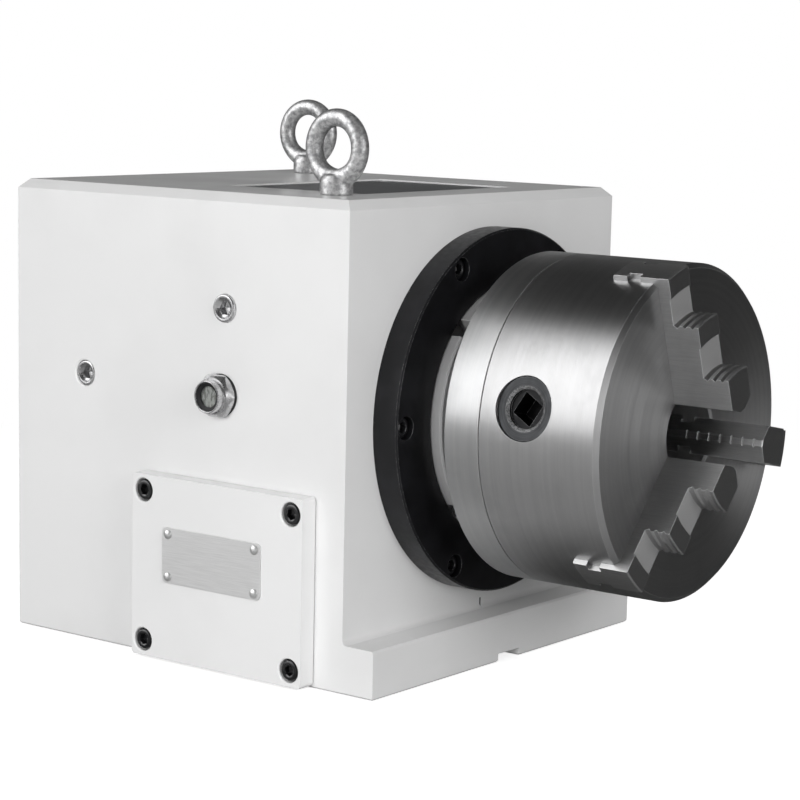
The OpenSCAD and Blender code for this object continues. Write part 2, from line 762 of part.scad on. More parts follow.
// Spur gear outline with trapezoid teeth and play at the flanks
function gear_points(n, m, play, shift) = [for (i = [0:n - 1], q = [0:3])
    let (
        pitch = 360 / n,
        pr = m * n / 2,
        tip = pr + 0.9 * m,
        root = pr - 1.15 * m,
        half_tip = (pitch / 4) * 0.55 - play * 20 / pr,
        half_root = (pitch / 4) * 1.5 - play * 20 / pr,
        a = i * pitch + shift + [-half_root, -half_tip, half_tip, half_root][q],
        r = q == 0 || q == 3 ? root : tip
    )
    [r * cos(a), r * sin(a)]];
module spur_y(y0, w, n, m, shift, bore) {
    translate([0, y0 + w, 0]) rotate([90, 0, 0]) difference() {
        linear_extrude(w) polygon(gear_points(n, m, 0.15, shift));
        translate([0, 0, -over]) cylinder(r = bore, h = w + 2 * over);
    }
}
// Direction from the motor to the worm shaft, seen along -Y
mesh_dir = atan2(motor_drop, motor_x - worm_x);
module motor_gear() {
    color(steel) translate([-motor_x, 0, motor_z])
        spur_y(drive_y, drive_w, motor_gear_teeth, drive_mod, mesh_dir, 7 + run);
}
module worm_gear() {
    color(steel) translate([-worm_x, 0, worm_z])
        spur_y(drive_y, drive_w, worm_gear_teeth, drive_mod, mesh_dir + 180 + 180 / worm_gear_teeth, 9 + run);
}

// Worm: a helical thread swept round its shaft
thread_turns = 7;
thread_steps = 20;
module worm_thread() {
    lead = PI * wheel_mod;
    n = thread_turns * thread_steps;
    root = worm_pr - wheel_mod * 1.0;
    section = [[root - 1, -lead * 0.30], [worm_tip_r, -lead * 0.10], [worm_tip_r, lead * 0.10],
        [root - 1, lead * 0.30]];
    pts = [for (i = [0:n], s = section)
        let (a = i * 360 / thread_steps, y = (i / thread_steps - thread_turns / 2) * lead + s[1])
        [s[0] * cos(a), y, s[0] * sin(a)]];
    faces = concat(
        [[0, 1, 2, 3]],
        [for (i = [0:n - 1], q = [0:3]) let (a = i * 4 + q, b = i * 4 + (q + 1) % 4)
            each [[a, b + 4, b], [a, a + 4, b + 4]]],
        [[n * 4 + 3, n * 4 + 2, n * 4 + 1, n * 4]]
    );
    polyhedron(pts, faces);
}
module worm_shaft() {
    root = worm_pr - wheel_mod * 1.05;
    brg = worm_brg[0];
    end = worm_brg_y + worm_brg[2];
    color(steel) translate([-worm_x, 0, worm_z]) {
        rotate([-90, 0, 0]) rotate_extrude() polygon([
            [0, -end - 14], [9, -end - 14], [9, -end], [brg, -end], [brg, -worm_brg_y], [14, -worm_brg_y],
            [14, -worm_half], [root, -worm_half], [root, worm_half], [14, worm_half], [14, worm_brg_y],
            [brg, worm_brg_y], [brg, end], [9, end], [9, drive_y + drive_w + 4], [0, drive_y + drive_w + 4]
        ]);
        rotate([0, worm_phase, 0]) worm_thread();
    }
}
worm_phase = 90;
module worm_bearing_places() {
    translate([-worm_x, 0, worm_z]) rotate([0, 0, 90])
        for (x = [worm_brg_y, -worm_brg_y - worm_brg[2]]) translate([x, 0, 0]) children();
}
module worm_bearing_outers() {
    color(steel) worm_bearing_places()
        bearing_outer(0, worm_brg[2], 2 * worm_brg[0], 2 * worm_brg[1]);
}
module worm_bearing_inners() {
    color(steel) worm_bearing_places()
        bearing_inner(0, worm_brg[2], 2 * (worm_brg[0] + 0.02), 2 * worm_brg[1]);
}
module worm_bearing_balls() {
    color(steel) worm_bearing_places()
        bearing_balls(0, worm_brg[2], 2 * worm_brg[0], 2 * worm_brg[1], 9);
}
module worm_locknut() {
    y0 = -worm_brg_y - worm_brg[2];
    color(dark) translate([-worm_x, 0, worm_z]) difference() {
        rod_y(y0 - 7, y0, 15);
        rod_y(y0 - 8, y0 + over, 9 + 0.02);
        for (a = ring_angles(4, 0)) rotate([0, a, 0]) span([13, y0 - 8, -2], [17, y0 - 3, 2]);
    }
}

// Worm wheel: straight teeth with play for the thread
module worm_wheel() {
    n = wheel_teeth;
    p = PI * wheel_mod;
    root = wheel_pr - wheel_mod * 1.1;
    tip_half = 0.10 * p / wheel_tip_r * 180 / PI;
    root_half = 0.27 * p / root * 180 / PI;
    pts = [for (i = [0:n - 1], q = [0:3])
        let (
            a = -90 + (i + 0.5) * 360 / n + [-root_half, -tip_half, tip_half, root_half][q],
            r = q == 0 || q == 3 ? root : wheel_tip_r
        )
        [r * cos(a), r * sin(a)]];
    color(bronze) difference() {
        on_spindle() translate([wheel_x0, 0, 0]) rotate([90, 0, 90]) linear_extrude(wheel_w) polygon(pts);
        on_spindle() rod_x(wheel_x0 - over, wheel_x1 + over, wheel_seat_r + 0.02);
        around(ring_angles(6, 0)) translate([0, wheel_screw_r, 0]) rotate([0, 0, 180])
            cap_hole(m6, -wheel_x0 - 0.5, 30, 3);
    }
}
module worm_wheel_screws() {
    color(dark) around(ring_angles(6, 0)) translate([0, wheel_screw_r, 0]) rotate([0, 0, 180])
        cap_screw(m6, -wheel_x0 - 0.5, wheel_w - m6[2] + 6);
}

// Spindle, turned in one piece
module spindle() {
    bore = spindle_bore / 2;
    shoulder = front_brg_id / 2 + 7;
    color(steel) difference() {
        on_spindle() rotate([0, 90, 0]) rotate_extrude() polygon([
            [bore, tail_x], [tail_r - 1, tail_x], [tail_r, tail_x + 1], [tail_r, locknut_x0 - 2],
            [rear_brg_id / 2 - 1, locknut_x0 - 2], [rear_brg_id / 2 - 1, rear_brg_x0],
            [rear_brg_id / 2, rear_brg_x0], [rear_brg_id / 2, rear_brg_x1],
            [rear_brg_id / 2 + 5, rear_brg_x1], [rear_brg_id / 2 + 5, wheel_x0 - 2],
            [wheel_seat_r, wheel_x0 - 2], [wheel_seat_r, wheel_x1],
            [wheel_flange_r, wheel_x1], [wheel_flange_r, wheel_x1 + wheel_flange_t],
            [front_brg_id / 2 - 2, wheel_x1 + wheel_flange_t], [front_brg_id / 2 - 2, front_brg_x0],
            [front_brg_id / 2, front_brg_x0], [front_brg_id / 2, front_brg_x1], [shoulder, front_brg_x1],
            [shoulder, front_brg_x1 + 2], [table_d / 2 - 3, front_brg_x1 + 2], [table_d / 2 - 3, table_back],
            [bore, table_back]
        ]);
        around(ring_angles(6, 0)) translate([0, wheel_screw_r, 0])
            rod_x(wheel_x1 - over, wheel_x1 + wheel_flange_t + over, m6[0] + snug);
        around(ring_angles(4, 0)) translate([0, table_screw_r, 0])
            rod_x(front_brg_x1 - over, table_back + over, m6[0] + snug);
    }
}
table_screw_r = 53;
module rotary_table() {
    c = 0.8;
    r = table_d / 2;
    color(steel) difference() {
        on_spindle() rotate([0, 90, 0]) rotate_extrude() polygon([
            [chuck_bore / 2, table_back], [r, table_back], [r, table_front - c], [r - c, table_front],
            [register_r + 0.05, table_front], [register_r + 0.05, table_front - 4],
            [chuck_bore / 2, table_front - 4]
        ]);
        around(ring_angles(4, 45)) {
            span([table_front - 6.5, 34, -slot_w / 2], [table_front + over, r + over, slot_w / 2]);
            span([table_front - 13, 34, -slot_w * 0.8], [table_front - 6.4, r + over, slot_w * 0.8]);
        }
        around(ring_angles(4, 0)) translate([0, table_screw_r, 0]) cap_hole(m6, table_front - 3, 20, 4);
        around(ring_angles(4, 0)) translate([0, adapter_screw_r, 0])
            rod_x(4, table_front + over, m8[0] + snug);
    }
}
register_r = 27;
adapter_screw_r = 38;
module rotary_table_screws() {
    color(dark) around(ring_angles(4, 0)) translate([0, table_screw_r, 0])
        cap_screw(m6, table_front - 3, table_front - 3 - m6[2] - table_back + 4);
}
module spindle_locknut() {
    color(dark) on_spindle() difference() {
        tube_x(locknut_x0, rear_brg_x0, rear_brg_id / 2 + 9, rear_brg_id / 2 - 1 + 0.02);
        for (a = ring_angles(4, 45)) rotate([a, 0, 0])
            span([locknut_x0 - over, rear_brg_id / 2 + 5.5, -4], [locknut_x0 + 7, rear_brg_id / 2 + 12, 4]);
    }
}

// Adapter plate between the table and the chuck
module chuck_adapter() {
    c = 0.8;
    seam = 0.35;
    boss_r = 50;
    bore = chuck_bore / 2;
    color(steel) difference() {
        on_spindle() rotate([0, 90, 0]) rotate_extrude() polygon([
            [bore, table_front - 3.8], [register_r, table_front - 3.8], [register_r, table_front],
            [boss_r, table_front], [boss_r, adapter_x0], [chuck_r - c, adapter_x0], [chuck_r, adapter_x0 + c],
            [chuck_r, chuck_x0 - seam - 0.2], [chuck_r - 0.2, chuck_x0 - seam],
            [chuck_r - 1.2, chuck_x0 - seam], [chuck_r - 1.2, chuck_x0], [spigot_r, chuck_x0],
            [spigot_r, chuck_x0 + spigot_h - 0.5], [spigot_r - 0.5, chuck_x0 + spigot_h],
            [bore, chuck_x0 + spigot_h]
        ]);
        around(ring_angles(4, 0)) translate([0, adapter_screw_r, 0]) cap_hole(m8, chuck_x0 - 2, 40, 10);
        around(jaw_angles) translate([0, chuck_pcd / 2, 0]) rotate([0, 0, 180])
            cap_hole(m8, -adapter_x0 - 1, 40, 4);
    }
}
module adapter_screws() {
    color(dark) around(ring_angles(4, 0)) translate([0, adapter_screw_r, 0])
        cap_screw(m8, chuck_x0 - 2, chuck_x0 - 2 - m8[2] - table_front + 13);
}
module chuck_screws() {
    color(dark) around(jaw_angles) translate([0, chuck_pcd / 2, 0]) rotate([0, 0, 180])
        cap_screw(m8, -adapter_x0 - 1, adapter_t + 6);
}

// Chuck body with three stepped jaw ways, the scroll chamber and the pinion holes
module jaw_way() {
    half = jaw_w / 2 + slide;
    reach = chuck_r + 5;
    span([foot_x0, 0, -half], [neck_x0 + slide, reach, half]);
    span([foot_x0, 0, -half + rail_depth], [chuck_x1 + over, reach, half - rail_depth]);
    span([neck_x1 - slide, 0, -half], [chuck_x1 + over, reach, half]);
}
module chuck_body() {
    c = 2.2;
    bore = chuck_bore / 2;
    ledge_x = chuck_x0 + spigot_h + cover_disc_t;
    color(steel) difference() {
        on_spindle() rotate([0, 90, 0]) rotate_extrude() polygon([
            [bore, ledge_x - cover_disc_t], [hub_r, ledge_x - cover_disc_t], [hub_r, foot_x0 + 0.2],
            [scroll_cav_r, foot_x0 + 0.2], [scroll_cav_r, ledge_x], [spigot_r + run, ledge_x],
            [spigot_r + run, chuck_x0], [chuck_r - 0.25, chuck_x0], [chuck_r, chuck_x0 + 0.25],
            [chuck_r, chuck_x1 - c], [chuck_r - c, chuck_x1], [bore + 1, chuck_x1], [bore, chuck_x1 - 1]
        ]);
        around(jaw_angles) jaw_way();
        around(pinion_angles) translate([pinion_x, 0, 0]) rotate([-90, 0, 0]) rotate_extrude() polygon([
            [0, scroll_cav_r - 3], [pinion_journal_r + run, scroll_cav_r - 3],
            [pinion_journal_r + run, hub_y0],
            [pinion_hub_r + run, hub_y0], [pinion_hub_r + run, chuck_r + 2], [0, chuck_r + 2]
        ]);
        around(pinion_angles) translate([0, pin_r, 0]) rod_x(chuck_x0 - over, pinion_x, 2 + snug);
        around(jaw_angles) translate([0, chuck_pcd / 2, 0])
            rod_x(chuck_x0 - over, chuck_x0 + 18, m8[0] + snug);
    }
}
// Keeps the scroll in and carries the pinions' inner ends
module scroll_cover() {
    x0 = chuck_x0 + spigot_h;
    color(steel) difference() {
        on_spindle() rotate([0, 90, 0]) rotate_extrude() polygon([
            [hub_r + run, x0], [spigot_r, x0], [spigot_r, x0 + cover_disc_t],
            [carrier_r1, x0 + cover_disc_t], [carrier_r1, crown_x0 - ease + crown_h],
            [carrier_r0, crown_x0 - ease + crown_h], [carrier_r0, x0 + cover_disc_t],
            [hub_r + run, x0 + cover_disc_t]
        ]);
        around(pinion_angles) translate([pinion_x, 0, 0])
            rod_y(carrier_r0 - 2, carrier_r1 + 2, 4 + run);
    }
}
module pinion_pins() {
    color(steel) around(pinion_angles) translate([0, pin_r, 0])
        rod_x(chuck_x0 + 0.3, pinion_x - pinion_groove_r - 0.25, 2);
}

// Scroll plate: spiral in front, crown teeth behind
module scroll_plate() {
    step = 9;
    r0 = hub_r + 1.2;
    r1 = scroll_cav_r - 0.5;
    ridge = scroll_pitch - spiral_gap;
    a0 = (r0 - scroll_pitch) * 360 / scroll_pitch;
    a1 = r1 * 360 / scroll_pitch;
    n = floor((a1 - a0) / step);
    // the groove's centre line has radius scroll_pitch * angle / 360, the ridge lies half a pitch further out
    inner = [for (i = [0:n]) let (a = a0 + i * step, r = scroll_pitch * (a / 360 + 0.5) - ridge / 2)
        [r * cos(a), r * sin(a)]];
    outer = [for (i = [n:-1:0]) let (a = a0 + i * step, r = scroll_pitch * (a / 360 + 0.5) + ridge / 2)
        [r * cos(a), r * sin(a)]];
    color(steel) on_spindle() {
        tube_x(crown_x0 + crown_h, scroll_x, scroll_cav_r - ease, hub_r + run);
        intersection() {
            translate([scroll_x - over, 0, 0]) rotate([90, 0, 90]) linear_extrude(spiral_h + over)
                polygon(concat(inner, outer));
            tube_x(scroll_x - over, scroll_x1 + over, scroll_cav_r - ease, hub_r + run);
        }
        crown_ring();
    }
}
module crown_ring() {
    n = crown_teeth;
    pitch = 360 / n;
    ri = crown_mid - crown_half;
    ro = crown_mid + crown_half;
    intersection() {
        tube_x(crown_x0, crown_x0 + crown_h + over, ro, ri);
        for (i = [0:n - 1]) rotate([pinion_angles[0] + (i + 0.5) * pitch, 0, 0])
            translate([crown_x0, 0, 0]) rotate([0, 90, 0]) linear_extrude(crown_h + over)
                polygon([
                    [-0.012 * ri, ri - 1], [0.012 * ri, ri - 1], [0.012 * ro, ro + 1], [-0.012 * ro, ro + 1]
                ]);
    }
}

// Pinion with its square key socket, along a radius
module pinion() {
    gear_y0 = crown_mid - crown_half + 1;
    gear_y1 = crown_mid + crown_half - 1;
    end = chuck_r - hub_sink;
    p = 2 * PI * pinion_pr / pinion_teeth;
    root = pinion_pr - 1.5;
    pts = [for (i = [0:pinion_teeth - 1], q = [0:3])
        let (
            tip_half = 0.13 * p / pinion_tip_r * 180 / PI,
            root_half = 0.26 * p / root * 180 / PI,
            a = i * 360 / pinion_teeth + [-root_half, -tip_half, tip_half, root_half][q],
            r = q == 0 || q == 3 ? root : pinion_tip_r
        )
        [r * cos(a), r * sin(a)]];
    translate([pinion_x, 0, 0]) difference() {
        union() {
            translate([0, gear_y1, 0]) rotate([90, 0, 0]) linear_extrude(gear_y1 - gear_y0) polygon(pts);
            rod_y(carrier_r0 + 1, gear_y0 + over, 4);
            rotate([-90, 0, 0]) rotate_extrude() polygon([
                [0, gear_y1 - over], [root, gear_y1 - over], [root, scroll_cav_r + 0.2],
                [pinion_journal_r, scroll_cav_r + 0.2], [pinion_journal_r, hub_y0 + 0.1],
                [pinion_hub_r, hub_y0 + 0.1], [pinion_hub_r, pin_r - 2.4], [pinion_groove_r, pin_r - 2.4],
                [pinion_groove_r, pin_r + 2.4], [pinion_hub_r, pin_r + 2.4], [pinion_hub_r, end - 0.5],
                [pinion_hub_r - 0.5, end], [key_mouth_r + 1.5, end], [key_mouth_r, end - 1],
                [key_mouth_r, end - 2.4], [0, end - 2.4]
            ]);
        }
        rotate([0, pinion_square, 0])
            span([-key_socket / 2, end - 13, -key_socket / 2], [key_socket / 2, end, key_socket / 2]);
    }
}
pinion_square = 60;
module pinion_1() {
    color(dark) around([pinion_angles[2]]) pinion();
}
module pinion_2() {
    color(dark) around([pinion_angles[0]]) pinion();
}
module pinion_3() {
    color(dark) around([pinion_angles[1]]) pinion();
}

// Jaw: a stepped turning, cut to a bar with a pointed nose, guide grooves and scroll teeth
function ridges(r, x0, x1, n, d) = [for (i = [0:n - 1], q = [0:2])
    let (p = (x1 - x0) / n, x = x0 + i * p) [r - (q == 0 ? d : 0), x + [0.2, 0.48, 0.9][q] * p]];
module jaw(angle) {
    half = jaw_w / 2;
    x1 = chuck_x1 + step_1;
    x2 = chuck_x1 + step_2;
    x3 = chuck_x1 + step_3;
    relief = 0.8;
    nose = (half - nose_flat) / tan(60);
    grip_pitch = 6.05;
    grip = [for (i = [0:6], q = [0:3])
        [jaw_tip + [0, 0.5, 0.5, 0][q], x3 - 4.6 - i * grip_pitch + [0.55, 0.25, -0.25, -0.45][q]]];
    difference() {
        intersection() {
            rotate([0, 90, 0]) rotate_extrude() polygon(concat(
                [[jaw_tip, foot_x0 + slide], [jaw_rim - 0.6, foot_x0 + slide], [jaw_rim, foot_x0 + 0.6],
                    [jaw_rim, x1 - 0.5], [jaw_rim - 0.5, x1], [riser_1 + 13, x1],
                    [riser_1 + 12.6, x1 - relief], [riser_1, x1 - relief]],
                ridges(riser_1, x1 + 0.4, x2, 3, 1.1),
                [[riser_1 - 0.4, x2], [riser_2 + 14.6, x2], [riser_2 + 14.2, x2 - relief],
                    [riser_2, x2 - relief]],
                ridges(riser_2, x2 + 0.4, x3, 3, 1.1),
                [[riser_2 - 0.4, x3], [jaw_tip + 0.4, x3], [jaw_tip, x3 - 0.4]],
                grip
            ));
            translate([foot_x0 - over, 0, 0]) rotate([90, 0, 90]) linear_extrude(step_3 + 60) polygon([
                [jaw_tip - 0.5, nose_flat - 0.87], [jaw_tip - 0.5, -nose_flat + 0.87], [jaw_tip, -nose_flat],
                [jaw_tip + nose, -half], [jaw_rim + 5, -half],
                [jaw_rim + 5, half], [jaw_tip + nose, half], [jaw_tip, nose_flat]
            ]);
        }
        for (s = [-1, 1])
            span([neck_x0, 0, s * half - rail_depth], [neck_x1, jaw_rim + 5, s * half + rail_depth]);
    }
    intersection() {
        for (r = tooth_radii(angle)) scroll_tooth(r);
        span([foot_x0 - 10, 0, -7], [foot_x0 + 0.5, jaw_rim, 7]);
    }
}
// Radii at which the groove passes a jaw, within the reach of the scroll over the whole travel
function tooth_radii(angle) = [for (k = [-2:12]) let (r = scroll_pitch * (k + angle / 360))
    if (r >= tooth_r_min && r <= tooth_r_max) r];
// A crescent that clears the groove's walls from the smallest radius to the largest
module scroll_tooth(r) {
    t = (spiral_gap - 2 * tooth_play) / 2;
    r_small = r - travel_in;
    r_large = r + travel_out;
    difference() {
        translate([0, r + t - r_small, 0]) rod_x(scroll_x + ease, foot_x0 + 0.5, r_small);
        translate([0, r - t - r_large, 0]) rod_x(scroll_x - over, foot_x0 + over, r_large);
    }
}
module jaw_1() {
    color(steel) around([jaw_angles[0]]) jaw(jaw_angles[0]);
}
module jaw_2() {
    color(steel) around([jaw_angles[1]]) jaw(jaw_angles[1]);
}
module jaw_3() {
    color(steel) around([jaw_angles[2]]) jaw(jaw_angles[2]);
}

housing();
top_cover();
top_cover_screws();
side_cover();
side_cover_screws();
nameplate();
nameplate_rivets();
filler_plug();
rear_port_plug();
sight_glass_body();
sight_glass_window();
sight_glass_washer();
eyebolt_front();
eyebolt_rear();
front_ring();
front_ring_screws();
spindle_seal();
front_bearing_outer();
rear_bearing_outer();
main_bearing_balls();
rear_spindle_cap();
rear_spindle_cap_screws();
rear_cover();
rear_cover_screws();
lead_socket();
motor();
motor_screws();
worm_bearing_outers();
worm_bearing_balls();
spindle();
front_bearing_inner();
rear_bearing_inner();
rotary_table();
rotary_table_screws();
worm_wheel();
worm_wheel_screws();
spindle_locknut();
chuck_adapter();
adapter_screws();
chuck_screws();
chuck_body();
scroll_cover();
pinion_pins();
scroll_plate();
pinion_1();
pinion_2();
pinion_3();
jaw_1();
jaw_2();
jaw_3();
worm_shaft();
worm_gear();
worm_bearing_inners();
worm_locknut();
motor_shaft();
motor_gear();
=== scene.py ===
"""Looks of a horizontal rotary indexer with a three-jaw chuck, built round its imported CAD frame.

Lengths are in metres in the frame of the CAD model: +X runs along the spindle towards the chuck, +Z is
up, and the camera sees the -Y side. CAD nodes of the right shape keep it and get a finish. Small pieces
with finer forms, such as screws, plugs, the sight glass and the eyebolts, are made here.
"""

import logging
import math
from dataclasses import dataclass, field
from enum import Enum
from functools import cache
from typing import Any, Sequence

import bmesh
import bpy
import numpy as np
from mathutils import Matrix, Vector


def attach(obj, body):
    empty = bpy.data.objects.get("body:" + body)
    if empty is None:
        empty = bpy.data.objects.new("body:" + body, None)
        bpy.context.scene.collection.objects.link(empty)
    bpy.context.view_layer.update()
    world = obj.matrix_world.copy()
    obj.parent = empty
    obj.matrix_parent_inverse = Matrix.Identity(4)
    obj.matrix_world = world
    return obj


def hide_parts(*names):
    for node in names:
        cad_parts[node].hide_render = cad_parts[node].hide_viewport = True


Material, Object, Socket = bpy.types.Material, bpy.types.Object, bpy.types.NodeSocket
Point, Span, Row = tuple[float, float, float], tuple[float, float], tuple[Any, float]

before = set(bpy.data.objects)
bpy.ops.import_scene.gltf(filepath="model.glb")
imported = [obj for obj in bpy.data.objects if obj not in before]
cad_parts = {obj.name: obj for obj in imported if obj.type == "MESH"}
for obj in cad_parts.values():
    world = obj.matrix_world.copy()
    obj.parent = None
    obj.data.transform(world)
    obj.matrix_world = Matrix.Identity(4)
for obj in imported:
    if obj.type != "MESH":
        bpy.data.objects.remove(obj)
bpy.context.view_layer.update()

log = logging.getLogger("indexer")
MM = 0.001
SPINDLE_Z = 125 * MM
BODY_BACK = -216 * MM
BODY_SIDE = -110 * MM
BODY_TOP = 231 * MM
COVER_FACE = -120 * MM
CHUCK_FACE = 118 * MM
PINION_X = 77 * MM
JAW_ANGLE = 108.8
JAW_FLOORS = (CHUCK_FACE + 5.4 * MM, CHUCK_FACE + 17.5 * MM)
MARK_CENTRE = (-0.6 * MM, 0.0, 26.7 * MM)
MARK_HALF = (0.58 * MM, 0.7 * MM, 2.6 * MM)
EDGE_FADE = 0.12
MODES = {"Math": "operation", "VectorMath": "operation", "Mix": "data_type", "MapRange": "interpolation_type"}
WHITE = (1.0, 1.0, 1.0, 1.0)


def linear(colour: str) -> tuple[float, float, float, float]:
    """Turns an sRGB hex colour into the linear values that shaders take.

    Args:
        colour: Six hex digits after a hash.

    Returns:
        Red, green and blue in linear light, and an alpha of one.
    """
    parts = [int(colour[i : i + 2], 16) / 255 for i in (1, 3, 5)]
    light = [c / 12.92 if c <= 0.04045 else ((c + 0.055) / 1.055) ** 2.4 for c in parts]
    return (light[0], light[1], light[2], 1.0)


@dataclass
class Tree:
    """A node tree under construction, with the patterns that several finishes share."""

    owner: Any
    tree: bpy.types.NodeTree = field(init=False)
    coords: bpy.types.Node = field(init=False)
    place: Socket = field(init=False)

    def __post_init__(self) -> None:
        """Empties the owner's tree and adds its coordinates."""
        self.owner.use_nodes = True
        self.tree = self.owner.node_tree
        self.tree.nodes.clear()
        self.coords = self.add("TexCoord").node
        self.place = self.coords.outputs["Object"]

    def add(self, kind: str, *given: Any, **named: Any) -> Any:
        """Adds one node with its settings and links.

        Args:
            kind: Blender's name for the node, without its leading ShaderNode, and its mode after a space.
            *given: Values, hex colours or sockets for the inputs in use, in order. None leaves one alone.
            **named: The node's attributes, and its inputs by name, with a capital and underscores.

        Returns:
            The first of the node's outputs in use, if it has one.
        """
        kind, _, mode = kind.partition(" ")
        made = self.tree.nodes.new("ShaderNode" + kind)
        if mode:
            setattr(made, MODES[kind], mode)
        pairs: list[tuple[Socket, Any]] = []
        for name, value in named.items():
            if name[0].islower():
                setattr(made, name, value)
            else:
                pairs.append((made.inputs[name.replace("_", " ")], value))
        pairs += zip([s for s in made.inputs if s.enabled], given)
        for socket, value in pairs:
            if isinstance(value, Socket):
                self.tree.links.new(value, socket)
            elif value is not None:
                socket.default_value = linear(value) if isinstance(value, str) else value
        return next((s for s in made.outputs if s.enabled), None)

    def patches(self, size_mm: float, low: float = 0.3, high: float = 0.7, to_low: float = 0.0,
                to_high: float = 1.0, detail: float = 3.0, sharp: float = 0.5, at: Any = None) -> Socket:
        """Gives soft patches: noise, whose range from low to high is mapped smoothly onto another.

        Args:
            size_mm: How wide a patch is.
            low: Noise at which the result is to_low.
            high: Noise at which the result is to_high.
            to_low: The result's lower end.
            to_high: The result's upper end.
            detail: Octaves of finer noise.
            sharp: The share of each finer octave.
            at: Coordinates, if not those of the object.

        Returns:
            The socket of the mapped value.
        """
        noise = self.add("TexNoise", self.place if at is None else at, 1 / (size_mm * MM), detail, sharp)
        return self.add("MapRange SMOOTHSTEP", noise, low, high, to_low, to_high)

    def polar(self) -> tuple[Socket, Socket, Socket]:
        """Works out distance from the spindle's axis, angle round it in radians, and station along it.

        Returns:
            The sockets of the three.
        """
        split = self.add("SeparateXYZ", self.place).node.outputs
        height = self.add("Math SUBTRACT", split["Z"], SPINDLE_Z)
        flat = self.add("CombineXYZ", None, split["Y"], height)
        radius = self.add("VectorMath LENGTH", flat)
        angle = self.add("Math ARCTAN2", height, split["Y"])
        return radius, angle, split["X"]

    def lathe_marks(self, squeeze: float) -> Socket:
        """Gives coordinates in which noise turns into lathe marks round the spindle.

        The first is the station plus 1.3 radii, which changes across the marks on faces and on rims
        alike. The other two are the place across the spindle, squeezed, so that a mark runs far round.

        Args:
            squeeze: A mark is as many times longer than wide as this goes into one.

        Returns:
            The socket of the coordinates.
        """
        radius, _, station = self.polar()
        across = self.add("Math MULTIPLY_ADD", radius, 1.3, station)
        flat = self.add("VectorMath MULTIPLY", self.place, (0, squeeze, squeeze))
        return self.add("VectorMath ADD", flat, self.add("CombineXYZ", across))

    def across_marks(self) -> Socket:
        """Gives the direction in the surface across the lathe marks, so that light spreads across them.

        The marks run along the cross product of +X and the place seen from the spindle. The cross product
        of the surface's normal and that lies in the surface, across the marks.

        Returns:
            The socket of the direction, in the world's axes.
        """
        centred = self.add("VectorMath SUBTRACT", self.place, (0, 0, SPINDLE_Z))
        around = self.add("VectorMath CROSS_PRODUCT", (1, 0, 0), centred)
        across = self.add("VectorMath CROSS_PRODUCT", self.coords.outputs["Normal"], around)
        world = self.add(
            "VectorTransform", across, vector_type="VECTOR", convert_from="OBJECT", convert_to="WORLD"
        )
        return self.add("VectorMath NORMALIZE", world)

    def from_pinion(self) -> Socket:
        """Gives the distance from the nearest pinion's axis.

        The angle is folded into the third of a turn round that pinion. Its sine times the radius is the
        offset round the chuck, and the offset along it is the station less the pinions'.

        Returns:
            The socket of the distance.
        """
        radius, angle, station = self.polar()
        third = 2 * math.pi / 3
        start = math.radians(JAW_ANGLE + 60) + third / 2
        past = self.add("Math SUBTRACT", angle, start)
        wrapped = self.add("Math FLOORED_MODULO", past, third)
        folded = self.add("Math SUBTRACT", wrapped, third / 2)
        sine = self.add("Math SINE", folded)
        side = self.add("Math MULTIPLY", sine, radius)
        ahead = self.add("Math SUBTRACT", station, PINION_X)
        return self.add("VectorMath LENGTH", self.add("CombineXYZ", side, ahead))

    def sharp_edges(self, radius_mm: float, start: float = 0.03) -> Socket:
        """Gives 1 on sharp edges, where a normal rounded by the radius leaves the true one, or else 0.

        Args:
            radius_mm: How far from an edge the rounded normal reaches.
            start: How far the two normals part before the edge shows.

        Returns:
            The socket of the share.
        """
        soft = self.add("Bevel", radius_mm * MM, samples=4)
        true = self.add("NewGeometry").node.outputs["True Normal"]
        alike = self.add("VectorMath DOT_PRODUCT", soft, true)
        apart = self.add("Math SUBTRACT", 1.0, alike)
        return self.add("MapRange SMOOTHSTEP", apart, start, start + EDGE_FADE)

    def relief(self, height: Any, depth_mm: float, strength: float, edge_mm: float) -> Socket:
        """Gives normals of a relief of a real depth, on a shape whose edges are rounded to a radius."""
        soft = self.add("Bevel", edge_mm * MM, samples=4)
        return self.add("Bump", Height=height, Distance=depth_mm * MM, Strength=strength, Normal=soft)

    def finish(self, **sockets: Any) -> Material:
        """Adds the surface shader with the given sockets, and its output, and returns the material."""
        self.add("OutputMaterial", self.add("BsdfPrincipled", **sockets))
        return self.owner


@dataclass(frozen=True)
class Coating:
    """What every finish has: the name of the real material, and the tree that it grows in."""

    name: str

    def start(self) -> Tree:
        """Makes the empty material."""
        return Tree(bpy.data.materials.new(self.name))


